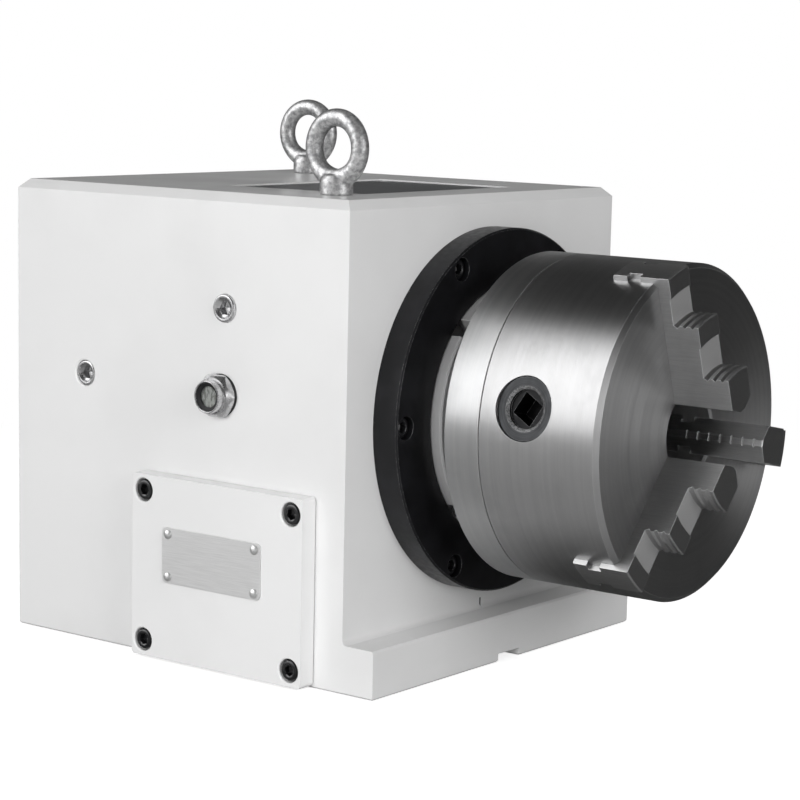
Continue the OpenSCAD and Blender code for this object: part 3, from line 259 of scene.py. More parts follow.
@dataclass(frozen=True)
class GlossEnamel(Coating):
    """Two-part enamel, sprayed on filled and rubbed cast iron: pale, even, glossy, with a faint peel."""

    colour: str
    shade: str
    roughness: float = 0.2
    shaded_mark: bool = False

    def material(self) -> Material:
        """Builds a slightly uneven colour, orange peel 2 mm wide, grime on the edges and painted shade in the
        index mark's groove.

        Returns:
            The material.
        """
        s = self.start()
        colour = s.add("Mix RGBA", s.patches(70, 0.35, 0.7), self.colour, self.shade)
        grime = s.patches(1.2, 0.55, 0.7, 0.0, 0.2, detail=2)
        dirt = s.add("Math MULTIPLY", s.sharp_edges(0.5, 0.06), grime)
        colour = s.add("Mix RGBA", dirt, colour, "#8d8d8c")
        # Painted shade: the index mark's groove is coloured dark, as it lies in shadow.
        if self.shaded_mark:
            apart = s.add("VectorMath ABSOLUTE", s.add("VectorMath SUBTRACT", s.place, MARK_CENTRE))
            past = s.add("VectorMath SUBTRACT", apart, MARK_HALF)
            split = s.add("SeparateXYZ", past).node.outputs
            outer = s.add("Math MAXIMUM", split["Y"], split["Z"])
            outer = s.add("Math MAXIMUM", split["X"], outer)
            mark_shade = s.add("Math LESS_THAN", outer, 0.0)
            colour = s.add("Mix RGBA", mark_shade, colour, "#5c5c5d")
        peel = s.add("TexNoise", s.place, 1 / (2.0 * MM), 1.0)
        wave = s.add("TexNoise", s.place, 1 / (26 * MM), 1.0)
        height = s.add("Math MULTIPLY_ADD", wave, 1.5, peel)
        rough = s.patches(45, to_low=self.roughness - 0.01, to_high=self.roughness + 0.02, detail=1)
        return s.finish(Base_Color=colour, Roughness=rough, Normal=s.relief(height, 0.02, 0.15, 0.45))


@dataclass(frozen=True)
class TurnedSteel(Coating):
    """Steel off the lathe, fine fed: marks round the spindle spread each light across them."""

    colour: str
    dark: str
    roughness: float
    anisotropic: float
    line_mm: float
    metallic: float = 1.0
    broad: float = 0.4

    def material(self) -> Material:
        """Builds fine marks and a share of broad ones. Real ones are 0.1 mm wide and are drawn wider.

        Returns:
            The material.
        """
        s = self.start()
        marks = s.lathe_marks(0.012)
        fine = s.add("TexNoise", marks, 1 / (self.line_mm * MM), 2.0, 0.6)
        broad = s.patches(self.line_mm * 11, detail=3, at=marks)
        lines = s.add("Math MULTIPLY", fine, 1 - self.broad)
        lines = s.add("Math MULTIPLY_ADD", broad, self.broad, lines)
        colour = s.add("Mix RGBA", lines, self.dark, self.colour)
        smudge = s.patches(20, 0.45, 0.8, detail=5, sharp=0.6)
        colour = s.add("Mix RGBA", s.add("Math MULTIPLY", smudge, 0.1), colour, "#6a6b6e")
        # Sharp edges turn near white with less metal: partly wear, partly a painted highlight.
        wear_and_highlight = s.sharp_edges(0.3)
        colour = s.add("Mix RGBA", wear_and_highlight, colour, "#e4e4e4")
        metal = s.add("Math MULTIPLY_ADD", wear_and_highlight, -0.5, self.metallic)
        rough = s.add("Math MULTIPLY_ADD", lines, 0.1, self.roughness - 0.05)
        rough = s.add("Math MULTIPLY_ADD", smudge, 0.04, rough)
        return s.finish(
            Base_Color=colour, Metallic=metal, Roughness=rough, Anisotropic=self.anisotropic,
            Tangent=s.across_marks(), Normal=s.relief(fine, 0.01, 0.18, 0.25),
        )


@dataclass(frozen=True)
class GroundSteel(Coating):
    """Hardened steel from the surface grinder: a cool satin with faint straight scratches."""

    colour: str
    dark: str
    roughness: float
    steps: tuple[float, ...] = ()

    def material(self) -> Material:
        """Builds scratches along +X, dull patches, painted shade on faces towards +X, pale edges that are
        part wear and part painted highlight, and turned floors at the steps' stations, painted pale as a
        highlight.

        Returns:
            The material.
        """
        s = self.start()
        long_way = s.add("VectorMath MULTIPLY", s.place, (0.03, 1, 1))
        lines = s.patches(0.35, at=long_way)
        colour = s.add("Mix RGBA", lines, self.dark, self.colour)
        patch = s.patches(11, 0.45, 0.78, detail=4)
        colour = s.add("Mix RGBA", s.add("Math MULTIPLY", patch, 0.12), colour, "#77787a")
        rough = s.add("Math MULTIPLY_ADD", patch, 0.06, self.roughness)
        _, _, station = s.polar()
        facing = s.add("SeparateXYZ", s.coords.outputs["Normal"])
        ahead = s.add("MapRange", facing, 0.8, 0.95)
        # Painted shade: faces towards +X are darkened towards #6f7072.
        colour = s.add("Mix RGBA", s.add("Math MULTIPLY", ahead, 0.4), colour, "#6f7072")
        floors: Any = 0.0
        for step in self.steps:
            level = s.add("Math COMPARE", station, step, 0.3 * MM)
            floors = s.add("Math ADD", level, floors)
        floors = s.add("Math MULTIPLY", floors, ahead)
        edges = s.sharp_edges(0.35)
        # Painted highlight: the turned floors and the sharp edges are coloured pale with less metal; on the
        # edges it is partly wear.
        bright = s.add("Math MAXIMUM", floors, edges)
        colour = s.add("Mix RGBA", bright, colour, "#e6e6e6")
        metal = s.add("Math MULTIPLY_ADD", edges, -0.5, 1.0)
        metal = s.add("Math MULTIPLY_ADD", floors, -0.25, metal)
        turned_share = s.add("Math MULTIPLY", floors, 0.8) if self.steps else 0.0
        return s.finish(
            Base_Color=colour, Metallic=metal, Roughness=rough, Anisotropic=turned_share,
            Tangent=s.across_marks(), Normal=s.relief(lines, 0.008, 0.25, 0.3),
        )


@dataclass(frozen=True)
class BlackedSteel(Coating):
    """Steel with a hot black oxide: nearly black, satin, with wear to grey metal on its edges, which are also
    painted pale as a highlight.
    """

    colour: str = "#141416"
    roughness: float = 0.36
    turned: bool = False
    rim: float = 0.0
    oiled: float = 0.0

    def material(self) -> Material:
        """Builds an uneven black with edge wear and a painted edge highlight, lathe marks where it is turned,
        and a chipped rear rim.

        Returns:
            The material.
        """
        s = self.start()
        colour = s.add("Mix RGBA", s.patches(15, 0.35, 0.7, detail=4), self.colour, "#1f1f22")
        broken = s.patches(1.6 if self.turned else 0.8, 0.45, 0.62, 0.12, 0.85, detail=5, sharp=0.7)
        wear_and_highlight = s.add("Math MULTIPLY", s.sharp_edges(0.4 if self.turned else 0.2), broken)
        if self.rim:
            radius, _, station = s.polar()
            flecks = s.patches(1.1, 0.66, 0.72, detail=3, sharp=0.8)
            outside = s.add("MapRange", radius, self.rim - 0.8 * MM, self.rim - 0.2 * MM)
            low = s.add("MapRange", station, 1.6 * MM, 0.3 * MM)
            edge = s.add("Math MULTIPLY", outside, low)
            chips = s.add("Math MULTIPLY", flecks, edge)
            wear_and_highlight = s.add("Math MAXIMUM", wear_and_highlight, chips)
        # Edges and rim chips turn pale grey: wear, and on the edges also a painted highlight.
        colour = s.add("Mix RGBA", wear_and_highlight, colour, "#b6b6b7")
        at = s.lathe_marks(0.02) if self.turned else s.place
        grain = s.add("TexNoise", at, 1 / (0.5 * MM), 2.0)
        rough = s.patches(3, to_low=self.roughness - 0.03, to_high=self.roughness + 0.08)
        return s.finish(
            Base_Color=colour, Metallic=0.4, Roughness=rough, Normal=s.relief(grain, 0.015, 0.35, 0.3),
            Coat_Weight=self.oiled, Coat_Roughness=0.1,
        )


@dataclass(frozen=True)
class PinionSteel(Coating):
    """Blacked steel, faced on the lathe at the hub: dark grey rings, a broken lip with wear that is also
    painted pale as a highlight, and painted shade that darkens the socket.
    """

    lip: float = 9.95 * MM
    lip_half: float = 0.75 * MM

    def material(self) -> Material:
        """Builds rings about each pinion's axis, from the distance to it.

        Returns:
            The material.
        """
        s = self.start()
        gap = s.from_pinion()
        radius, _, _ = s.polar()
        marks = s.add("CombineXYZ", gap, s.add("Math MULTIPLY", radius, 0.3))
        rings = s.patches(0.35, at=marks)
        face = s.add("Mix RGBA", rings, "#2a2b2c", "#404143")
        # Painted shade: within the lip the socket is coloured near black.
        inside = s.add("MapRange", gap, self.lip, self.lip - self.lip_half)
        colour = s.add("Mix RGBA", inside, face, "#161617")
        broken = s.patches(0.7, 0.4, 0.6, 0.25, 0.9, detail=4)
        # The lip ring and sharp edges turn pale: partly wear, partly a painted highlight.
        ring = s.add("Math COMPARE", gap, self.lip, self.lip_half)
        wear_and_highlight = s.add("Math MAXIMUM", ring, s.sharp_edges(0.4))
        wear_and_highlight = s.add("Math MULTIPLY", wear_and_highlight, broken)
        colour = s.add("Mix RGBA", wear_and_highlight, colour, "#b4b4b5")
        rough = s.patches(3, to_low=0.36, to_high=0.46)
        normal = s.relief(rings, 0.01, 0.3, 0.25)
        return s.finish(Base_Color=colour, Metallic=0.8, Roughness=rough, Normal=normal)


@dataclass(frozen=True)
class ZincPlate(Coating):
    """Zinc on steel: pale satin grey, duller and mottled where the steel under it was forged."""

    colour: str
    dark: str
    roughness: float
    forged: bool = False
    metallic: float = 1.0

    def material(self) -> Material:
        """Builds mottled brightness, and the dents and scale of forging where it is forged.

        Returns:
            The material.
        """
        s = self.start()
        mottle = s.patches(2.2 if self.forged else 5, 0.32, 0.66, detail=5, sharp=0.65)
        colour = s.add("Mix RGBA", mottle, self.dark, self.colour)
        speck = s.patches(0.55, 0.62, 0.75, 0.0, 0.3, detail=2)
        colour = s.add("Mix RGBA", speck, colour, "#ededec")
        rough = s.add("Math MULTIPLY_ADD", mottle, -0.1, self.roughness + 0.06)
        dents = s.add("TexNoise", s.place, 1 / (3.4 * MM), 4.0, 0.6)
        height = s.add("Math MULTIPLY_ADD", dents, 1.6 if self.forged else 0.1, speck)
        normal = s.relief(height, 0.07 if self.forged else 0.012, 0.6, 0.2)
        return s.finish(Base_Color=colour, Metallic=self.metallic, Roughness=rough, Normal=normal)


@dataclass(frozen=True)
class BrushedSheet(Coating):
    """Anodised aluminium sheet, brushed along its length before it was cut: silvery with fine lines."""

    colour: str
    dark: str

    def material(self) -> Material:
        """Builds fine lines along X by squeezing the noise across them.

        Returns:
            The material.
        """
        s = self.start()
        long_way = s.add("Mapping", s.place, Scale=(0.02, 1, 1))
        lines = s.patches(0.25, detail=2, at=long_way)
        colour = s.add("Mix RGBA", lines, self.dark, self.colour)
        rough = s.add("Math MULTIPLY_ADD", lines, 0.08, 0.4)
        normal = s.relief(lines, 0.005, 0.2, 0.2)
        return s.finish(Base_Color=colour, Metallic=0.5, Roughness=rough, Normal=normal)


@dataclass(frozen=True)
class PowderCoat(Coating):
    """Fine textured powder coat on sheet and castings: even and dull, with a tight grain."""

    colour: str
    dust: str
    roughness: float = 0.42

    def material(self) -> Material:
        """Builds a tight grain and a faint cloud of dust.

        Returns:
            The material.
        """
        s = self.start()
        colour = s.add("Mix RGBA", s.patches(30, 0.35, 0.8, 0.0, 0.5), self.colour, self.dust)
        grain = s.add("TexNoise", s.place, 1 / (0.35 * MM), 2.0)
        rough = s.patches(0.35, to_low=self.roughness - 0.04, to_high=self.roughness + 0.06)
        return s.finish(Base_Color=colour, Roughness=rough, Normal=s.relief(grain, 0.03, 0.4, 0.3))


@dataclass(frozen=True)
class MouldedRubber(Coating):
    """Black nitrile rubber, moulded: matte with a faint bloom."""

    colour: str = "#151516"

    def material(self) -> Material:
        """Builds a matte black with a faint grey bloom.

        Returns:
            The material.
        """
        s = self.start()
        colour = s.add("Mix RGBA", s.patches(4, 0.45, 0.8, 0.0, 0.3), self.colour, "#2b2b2d")
        grain = s.add("TexNoise", s.place, 1 / (0.4 * MM), 2.0)
        return s.finish(Base_Color=colour, Roughness=0.62, Normal=s.relief(grain, 0.02, 0.4, 0.15))


@dataclass(frozen=True)
class CutBronze(Coating):
    """Tin bronze with the marks of the hob: warm, satin, browned in patches."""

    colour: str
    brown: str

    def material(self) -> Material:
        """Builds a warm metal with brown patches and cutter marks.

        Returns:
            The material.
        """
        s = self.start()
        colour = s.add("Mix RGBA", s.patches(10, 0.35, 0.75, detail=4), self.colour, self.brown)
        marks = s.add("TexNoise", s.place, 1 / (0.5 * MM), 3.0)
        rough = s.patches(10, to_low=0.26, to_high=0.4, detail=4)
        normal = s.relief(marks, 0.015, 0.4, 0.2)
        return s.finish(Base_Color=colour, Metallic=1.0, Roughness=rough, Normal=normal)


@dataclass(frozen=True)
class SightWindow(Coating):
    """Pressed glass of an oil sight: clear, a little green at its edge, with a smooth domed face."""

    def material(self) -> Material:
        """Builds clear glass with a faint ripple.

        Returns:
            The material.
        """
        s = self.start()
        ripple = s.add("TexNoise", s.place, 1 / (3 * MM), 1.0)
        normal = s.relief(ripple, 0.01, 0.4, 0.1)
        return s.finish(Base_Color="#f0f2f0", Roughness=0.04, Transmission_Weight=1.0, IOR=1.5, Normal=normal)


@dataclass(frozen=True)
class TinReflector(Coating):
    """Pressed tin behind a sight glass: pale grey, with dark streaks painted on as reflections."""

    def material(self) -> Material:
        """Builds a pale dull grey with soft slanted dark streaks, painted reflections.

        Returns:
            The material.
        """
        s = self.start()
        slanted = s.add("Mapping", s.place, Rotation=(0, math.radians(30), 0), Scale=(1.6, 1, 0.6))
        # Painted reflection: soft slanted dark streaks on the pale tin.
        painted_reflection = s.patches(2.6, 0.42, 0.60, detail=3, sharp=0.6, at=slanted)
        colour = s.add("Mix RGBA", painted_reflection, "#b9b9b8", "#6c6c6b")
        return s.finish(Base_Color=colour, Roughness=0.5)


class Finish(Enum):
    """Every finish on the object, by what carries it."""

    BODY = GlossEnamel("gloss_enamel_on_cast_iron", "#e4e4e4", "#dfdfdf", shaded_mark=True)
    COVER = GlossEnamel("gloss_enamel_on_cover", "#e6e6e6", "#e2e2e2")
    RING = BlackedSteel("blacked_turned_steel", roughness=0.34, turned=True, rim=90 * MM)
    REAR_CAP = BlackedSteel("blacked_rear_cap_steel", roughness=0.34, turned=True)
    SCREW = BlackedSteel("blacked_screw_steel", colour="#0f0f10", roughness=0.32, oiled=0.8)
    PINION = PinionSteel("blacked_pinion_steel")
    CHUCK = TurnedSteel("fine_turned_chuck_steel", "#c9c9c9", "#b7b7b8", 0.42, 0.8, 0.22)
    TURNED = TurnedSteel("turned_steel", "#cbcbcb", "#b5b6b7", 0.4, 0.7, 0.3)
    TABLE = TurnedSteel("turned_table_iron", "#d6d6d6", "#c4c4c5", 0.42, 0.7, 0.3, metallic=0.55)
    JAW = GroundSteel("ground_jaw_steel", "#d8d8d8", "#cecece", 0.36, JAW_FLOORS)
    BEARING = GroundSteel("polished_bearing_steel", "#c9caca", "#bfc0c0", 0.16)
    ZINC = ZincPlate("bright_zinc_plate", "#d8d8d9", "#adadae", 0.26, metallic=0.95)
    FORGED = ZincPlate("zinc_on_forged_steel", "#dadada", "#98989a", 0.4, forged=True, metallic=0.78)
    RIVET = ZincPlate("soft_aluminium", "#dcdcdc", "#cccccc", 0.32, metallic=0.72)
    PLATE = BrushedSheet("brushed_aluminium_sheet", "#d8d8d8", "#cccccc")
    PANEL = PowderCoat("dark_powder_coat", "#4a4b4d", "#55565a", 0.36)
    MOTOR = PowderCoat("motor_powder_coat", "#1b1b1d", "#303033")
    RUBBER = MouldedRubber("nitrile_rubber")
    BRONZE = CutBronze("cut_tin_bronze", "#c99a5b", "#8a5f36")
    WINDOW = SightWindow("sight_window_glass")
    REFLECTOR = TinReflector("tin_reflector_painted_reflections")

    @cache
    def material(self) -> Material:
        """Builds the material at its first use and keeps it."""
        return self.value.material()


def dress_nodes(wear_and_highlight: dict[Finish, Sequence[str]]) -> None:
    """Puts each finish on its CAD nodes, in all their material slots.

    Args:
        wear_and_highlight: The names of the nodes that carry each finish.
    """
    for finish, nodes in wear_and_highlight.items():
        for name in nodes:
            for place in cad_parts[name].material_slots:
                place.material = finish.material()


@dataclass
class Surface:
    """Points and four-sided faces, worked out as arrays."""

    points: np.ndarray
    faces: np.ndarray

    def placed(self, turn: np.ndarray, at: Sequence[float]) -> "Surface":
        """Turns the points by a 3 by 3 matrix and moves them to a place."""
        return Surface(self.points @ turn.T + np.asarray(at, float), self.faces)

    def outward(self) -> "Surface":
        """Makes a closed surface's faces point outwards.

        The volume is a sixth of the sum over triangles of a corner's dot product with the cross product
        of the other two. Where it is negative, the faces turn round.

        Returns:
            This surface, or one with its faces turned round.
        """
        a, b, c, d = (self.points[self.faces[:, i]] for i in range(4))
        volume = np.sum(a * np.cross(b, c)) + np.sum(a * np.cross(c, d))
        return self if volume >= 0 else Surface(self.points, self.faces[:, ::-1])


def even_angles(count: int) -> np.ndarray:
    """Gives even angles round a turn, in radians from 0."""
    return np.linspace(0, 2 * np.pi, count, endpoint=False)


def grid(points: np.ndarray, wrap_rows: bool = False) -> Surface:
    """Joins a grid of points into faces. The last column joins the first.

    Args:
        points: An array of rows, columns and three coordinates.
        wrap_rows: Whether the last row joins the first too.

    Returns:
        The surface, with a face for each cell.
    """
    rows, cols = points.shape[:2]
    u, v = np.meshgrid(np.arange(rows if wrap_rows else rows - 1), np.arange(cols), indexing="ij")
    up, vp = (u + 1) % rows, (v + 1) % cols
    faces = np.stack([u * cols + v, up * cols + v, up * cols + vp, u * cols + vp], axis=-1)
    return Surface(points.reshape(-1, 3), faces.reshape(-1, 4))


def turned(rows: Sequence[Row], count: int) -> Surface:
    """Carries radii round +X: a point is (station, radius times cosine, radius times sine) of its angle.

    Args:
        rows: A radius, or one for each angle, and the station of each row. Zero radius closes an end.
        count: How many angles there are in a turn.

    Returns:
        The surface, with its faces outwards.
    """
    angle = even_angles(count)
    radii = np.array([np.broadcast_to(radius, count) for radius, _ in rows])
    along = np.broadcast_to(np.array([[x] for _, x in rows]), radii.shape)
    return grid(np.stack([along, radii * np.cos(angle), radii * np.sin(angle)], axis=-1)).outward()


def hexagon(across: float, count: int) -> np.ndarray:
    """Radii of a hexagon at even angles: half its width over the cosine of the angle to the nearest flat."""
    angle = even_angles(count)
    return across / 2 / np.cos((angle % (np.pi / 3)) - np.pi / 6)


def merged(parts: Sequence[Surface]) -> Surface:
    """Joins surfaces into one, without welding them.

    Args:
        parts: The surfaces, in order.

    Returns:
        One surface with the points and faces of all.
    """
    starts = np.cumsum([0] + [len(p.points) for p in parts[:-1]])
    faces = np.concatenate([p.faces + s for p, s in zip(parts, starts)])
    return Surface(np.concatenate([p.points for p in parts]), faces)


def out_of(direction: Sequence[float]) -> np.ndarray:
    """Gives the turn that takes +X to a direction and keeps +Z as far up as it can.

    Args:
        direction: Where +X goes, at any length.

    Returns:
        The turn as a 3 by 3 matrix.
    """
    x = np.asarray(direction, float) / np.linalg.norm(direction)
    up = np.array([0.0, 0.0, 1.0]) if abs(x[2]) < 0.9 else np.array([1.0, 0.0, 0.0])
    y = np.cross(up, x)
    y /= np.linalg.norm(y)
    return np.stack([x, y, np.cross(x, y)], axis=1)


def linked(name: str, data: Any) -> Object:
    """Makes an object of a mesh, a lamp or a camera, and links it to the scene.

    Args:
        name: The object's name.
        data: Its mesh, lamp or camera.

    Returns:
        The object, at the origin.
    """
    made = bpy.data.objects.new(name, data)
    bpy.context.scene.collection.objects.link(made)
    return made


def to_object(name: str, surface: Surface, material: Material, sharp: float = 35.0) -> Object:
    """Makes a mesh object of a surface, welded and shaded smooth between its sharp edges.

    Args:
        name: The object's name.
        surface: Its points and faces, in the frame of the CAD.
        material: Its finish.
        sharp: The angle in degrees above which an edge stays sharp.

    Returns:
        The object, in the scene, at the origin.
    """
    mesh = bpy.data.meshes.new(name)
    mesh.from_pydata(surface.points, [], surface.faces.tolist())
    work = bmesh.new()
    work.from_mesh(mesh)
    bmesh.ops.remove_doubles(work, verts=work.verts, dist=1e-6)
    bmesh.ops.dissolve_degenerate(work, edges=work.edges, dist=1e-7)
    work.to_mesh(mesh)
    work.free()
    mesh.polygons.foreach_set("use_smooth", np.ones(len(mesh.polygons), dtype=bool))
    mesh.set_sharp_from_angle(angle=math.radians(sharp))
    mesh.materials.append(material)
    return linked(name, mesh)


def fitted(made: Object, slot: str, node: str = "", body: str = "base") -> Object:
    """Lets a new piece ride on a body and, where one is named, replace a CAD node.

    Args:
        made: The piece.
        slot: The name of its material slot; not used.
        node: The CAD node that it replaces, if any.
        body: The body that it rides on.

    Returns:
        The piece.
    """
    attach(made, body)
    if node:
        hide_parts(node)
    return made


@dataclass(frozen=True)
class CapScrew:
    """A socket head cap screw, with the face of its head at 0 and its shank towards -X."""

    thread: float
    head: float
    height: float
    socket: float
    length: float
    count: int = 96

    def surface(self) -> Surface:
        """Works out the screw from rows of radii.

        The knurl is a fine wave on the head's side. The socket starts as a circle at its countersink and
        becomes a hexagon below it, with a drill's cone at the bottom.

        Returns:
            The screw's surface.
        """
        angle = even_angles(self.count)
        knurl = self.head + 0.07 * MM * np.cos(angle * self.count / 4)
        flats = hexagon(self.socket, self.count)
        lip = 0.16 * self.head
        deep = 0.55 * self.height
        corner = self.socket / 2 / math.cos(math.pi / 6)
        end = -self.height - self.length
        rows = [
            (0.0, end), (self.thread - 0.4 * MM, end), (self.thread, end + 0.4 * MM),
            (self.thread, -self.height), (self.head - 0.2 * MM, -self.height),
            (self.head, -self.height + 0.3 * MM),
            (knurl, -self.height + 0.5 * MM), (knurl, -lip - 0.25 * MM), (self.head, -lip),
            (self.head - 0.30 * lip, -0.42 * lip), (self.head - 0.62 * lip, -0.14 * lip),
            (self.head - lip, 0.0), (corner + 0.28 * MM, 0.0), (corner + 0.02 * MM, -0.22 * MM),
            (flats, -0.30 * MM), (flats, -deep),
            (0.72 * flats, -deep - 0.12 * self.height), (0.0, -deep - 0.22 * self.height),
        ]
        return turned(rows, self.count)


@dataclass(frozen=True)
class ScrewGroup:
    """Equal screws of the base that replace one CAD node."""

    node: str
    screw: CapScrew
    places: tuple[Point, ...]
    direction: Point

    def build(self) -> Object:
        """Makes the screws, each turned a little differently as real ones end up.

        Returns:
            The object.
        """
        one = self.screw.surface()
        parts = []
        for number, place in enumerate(self.places):
            c, s = math.cos(math.radians(17 + 41 * number)), math.sin(math.radians(17 + 41 * number))
            spin = np.array([[1, 0, 0], [0, c, -s], [0, s, c]])
            parts.append(one.placed(out_of(self.direction) @ spin, place))
        made = to_object(self.node + "_detail", merged(parts), Finish.SCREW.material(), 40)
        return fitted(made, "black_screw", self.node)


def on_circle(radius: float, count: int, start: float, x: float) -> tuple[Point, ...]:
    """Gives places round the spindle at even angles from a start in degrees."""
    angles = [math.radians(start + 360 * i / count) for i in range(count)]
    return tuple((x, radius * math.cos(a), SPINDLE_Z + radius * math.sin(a)) for a in angles)


M4 = dict(thread=2.0 * MM, head=3.5 * MM, height=4.0 * MM, socket=3.0 * MM)
M5 = dict(thread=2.5 * MM, head=4.25 * MM, height=5.0 * MM, socket=4.0 * MM)
M6 = dict(thread=3.0 * MM, head=5.0 * MM, height=6.0 * MM, socket=5.0 * MM)


@dataclass
class Fasteners:
    """The screws that show in covers, ring and rear plates."""

    cover_x: float = -71.5 * MM
    cover_z: float = 46.5 * MM
    cover_dx: float = 47 * MM
    cover_dz: float = 37.5 * MM
    ring_radius: float = 83 * MM
    ring_face: float = 12 * MM
    rear_y: float = 79 * MM
    rear_z: Span = (13.5 * MM, 76.5 * MM)
    cap_radius: float = 36 * MM
    cover_sunk: float = 0.6 * MM
    rear_sunk: float = 0.8 * MM
    cap_sunk: float = 1 * MM

    def build(self) -> list[Object]:
        """Makes each group of screws.

        Returns:
            The objects.
        """
        cover_y = COVER_FACE + self.cover_sunk
        cover = tuple(
            (self.cover_x + sx * self.cover_dx, cover_y, self.cover_z + sz * self.cover_dz)
            for sx in (-1, 1) for sz in (-1, 1)
        )
        rear_x = BODY_BACK + self.rear_sunk
        rear = tuple((rear_x, side * self.rear_y, z) for side in (-1, 0, 1) for z in self.rear_z)
        ring = on_circle(self.ring_radius, 6, 0, self.ring_face)
        cap = on_circle(self.cap_radius, 4, 45, BODY_BACK + self.cap_sunk)
        groups = [
            ScrewGroup("side_cover_screws", CapScrew(**M6, length=18 * MM), cover, (0, -1, 0)),
            ScrewGroup("front_ring_screws", CapScrew(**M6, length=20 * MM), ring, (1, 0, 0)),
            ScrewGroup("rear_cover_screws", CapScrew(**M5, length=5.7 * MM), rear, (-1, 0, 0)),
            ScrewGroup("rear_spindle_cap_screws", CapScrew(**M4, length=6 * MM), cap, (-1, 0, 0)),
        ]
        return [group.build() for group in groups]


@dataclass
class SocketPlug:
    """A threaded plug with a hexagon socket, screwed into the side wall."""

    node: str
    x: float
    z: float
    radius: float
    proud: float
    depth: float = 11 * MM
    lip: float = 0.9 * MM
    count: int = 96

    def build(self) -> Object:
        """Makes the plug: a rolled lip, a dished face and a deep socket.

        Returns:
            The object.
        """
        flats = hexagon(self.radius * 0.92, self.count)
        bend = np.linspace(0, np.pi / 2, 7)
        face = self.proud
        rows: list[Row] = [
            (0.0, -self.depth), (self.radius - 0.4 * MM, -self.depth), (self.radius, 0.4 * MM - self.depth),
        ]
        rows += [
            (self.radius - self.lip * (1 - math.cos(a)), face - self.lip * (1 - math.sin(a))) for a in bend
        ]
        rows += [
            (self.radius * 0.76, face - 0.08 * MM), (self.radius * 0.70, face - 0.5 * MM),
            (self.radius * 0.60, face - 1.3 * MM), (flats, face - 1.7 * MM), (flats, face - 4.9 * MM),
            (0.5 * flats, face - 5.6 * MM), (0.0, face - 5.7 * MM),
        ]
        body = turned(rows, self.count).placed(out_of((0, -1, 0)), (self.x, BODY_SIDE, self.z))
        made = to_object(self.node + "_detail", body, Finish.ZINC.material(), 32)
        return fitted(made, "zinc_steel", self.node)


@dataclass
class SightGlass:
    """The oil sight: hexagon body with a round bezel, a black liner, a window and its reflector."""

    x: float = -77.5 * MM
    z: float = 134 * MM
    washer: float = 1.4 * MM
    hex_height: float = 5 * MM
    bezel_height: float = 4 * MM
    across: float = 20.2 * MM
    bezel: float = 8.0 * MM
    glass: float = 7.0 * MM
    view: float = 5.1 * MM
    stub: float = 8 * MM
    depth: float = 11 * MM
    count: int = 144

    @property
    def top(self) -> float:
        """The bezel's end above the wall."""
        return self.washer + self.hex_height + self.bezel_height

    def piece(self, name: str, rows: Sequence[Row], finish: Material, slot: str, node: str) -> Object:
        """Turns pairs of radius and station into a piece at the side wall, and fits it."""
        surface = turned(rows, self.count).placed(out_of((0, -1, 0)), (self.x, BODY_SIDE, self.z))
        return fitted(to_object(name, surface, finish, 30), slot, node)

    def body_rows(self) -> list[Row]:
        """Works out the hexagon with chamfered corners and the bezel.

        At each height the hexagon's radius is the smallest of its own, a cone's from the washer and a
        cone's from the front, which leaves the arcs on the flats of a real nut.

        Returns:
            Pairs of radius and station.
        """
        low, high, top = self.washer, self.washer + self.hex_height, self.top
        flats = hexagon(self.across, self.count)
        stations = low + self.hex_height * np.array([0, 0.06, 0.12, 0.18, 0.3, 0.5, 0.6, 0.7, 0.8, 0.9, 1.0])
        cone_low = self.across * 0.5 + (stations - low) * 0.9
        cone_high = self.across * 0.45 + (high - stations) * 0.75
        rows: list[Row] = [(0.0, -self.depth), (self.stub, -self.depth), (self.stub, low)]
        rows += [(np.minimum(flats, min(a, b)), x) for x, a, b in zip(stations, cone_low, cone_high)]
        return rows + [
            (self.bezel + 0.5 * MM, high), (self.bezel, high + 0.4 * MM), (self.bezel, top - 0.7 * MM),
            (self.bezel - 0.12 * MM, top - 0.25 * MM), (self.bezel - 0.4 * MM, top),
            (self.glass + 0.3 * MM, top), (self.glass + 0.05 * MM, top - 0.2 * MM),
            (self.glass, top - 0.5 * MM), (self.glass, top - 4.4 * MM),
            (self.glass - 1.6 * MM, top - 4.4 * MM), (self.glass - 1.6 * MM, top - 7 * MM),
            (0.0, top - 7 * MM),
        ]

    def liner_rows(self) -> list[Row]:
        """Works out the black liner, a ring that falls from the bezel's mouth to the window.

        Returns:
            Pairs of radius and station.
        """
        top, wide = self.top, self.glass - 0.02 * MM
        return [
            (self.view, top - 2.0 * MM), (wide, top - 2.0 * MM), (wide, top - 0.7 * MM),
            (wide - 0.25 * MM, top - 0.6 * MM), (self.view + 0.5 * MM, top - 1.4 * MM),
            (self.view, top - 1.6 * MM), (self.view, top - 2.0 * MM),
        ]

    def build(self) -> list[Object]:
        """Makes the body, the liner, the domed window and the dished reflector behind it.

        The window's height falls and the reflector's rises with the square of the share of the radius.

        Returns:
            The objects.
        """
        top, pane = self.top, self.glass - 0.05 * MM
        share = np.linspace(1, 0, 9)
        window = [(0.0, top - 3.0 * MM), (pane, top - 3.0 * MM)]
        window += [(pane * s, top - 2.1 * MM + 0.05 * MM * (1 - s * s)) for s in share]
        mirror = [(0.0, top - 4.35 * MM), (pane, top - 4.35 * MM)]
        mirror += [(pane * s, top - 3.05 * MM - 0.1 * MM * (1 - s * s)) for s in share]
        return [
            self.piece(name, rows, finish.material(), slot, node)
            for name, rows, finish, slot, node in (
                ("sight_body_detail", self.body_rows(), Finish.ZINC, "zinc_steel", "sight_glass_body"),
                ("sight_window_detail", window, Finish.WINDOW, "sight_window", "sight_glass_window"),
                ("sight_liner", self.liner_rows(), Finish.RUBBER, "seal_rubber", ""),
                ("sight_reflector", mirror, Finish.REFLECTOR, "zinc_steel", ""),
            )
        ]


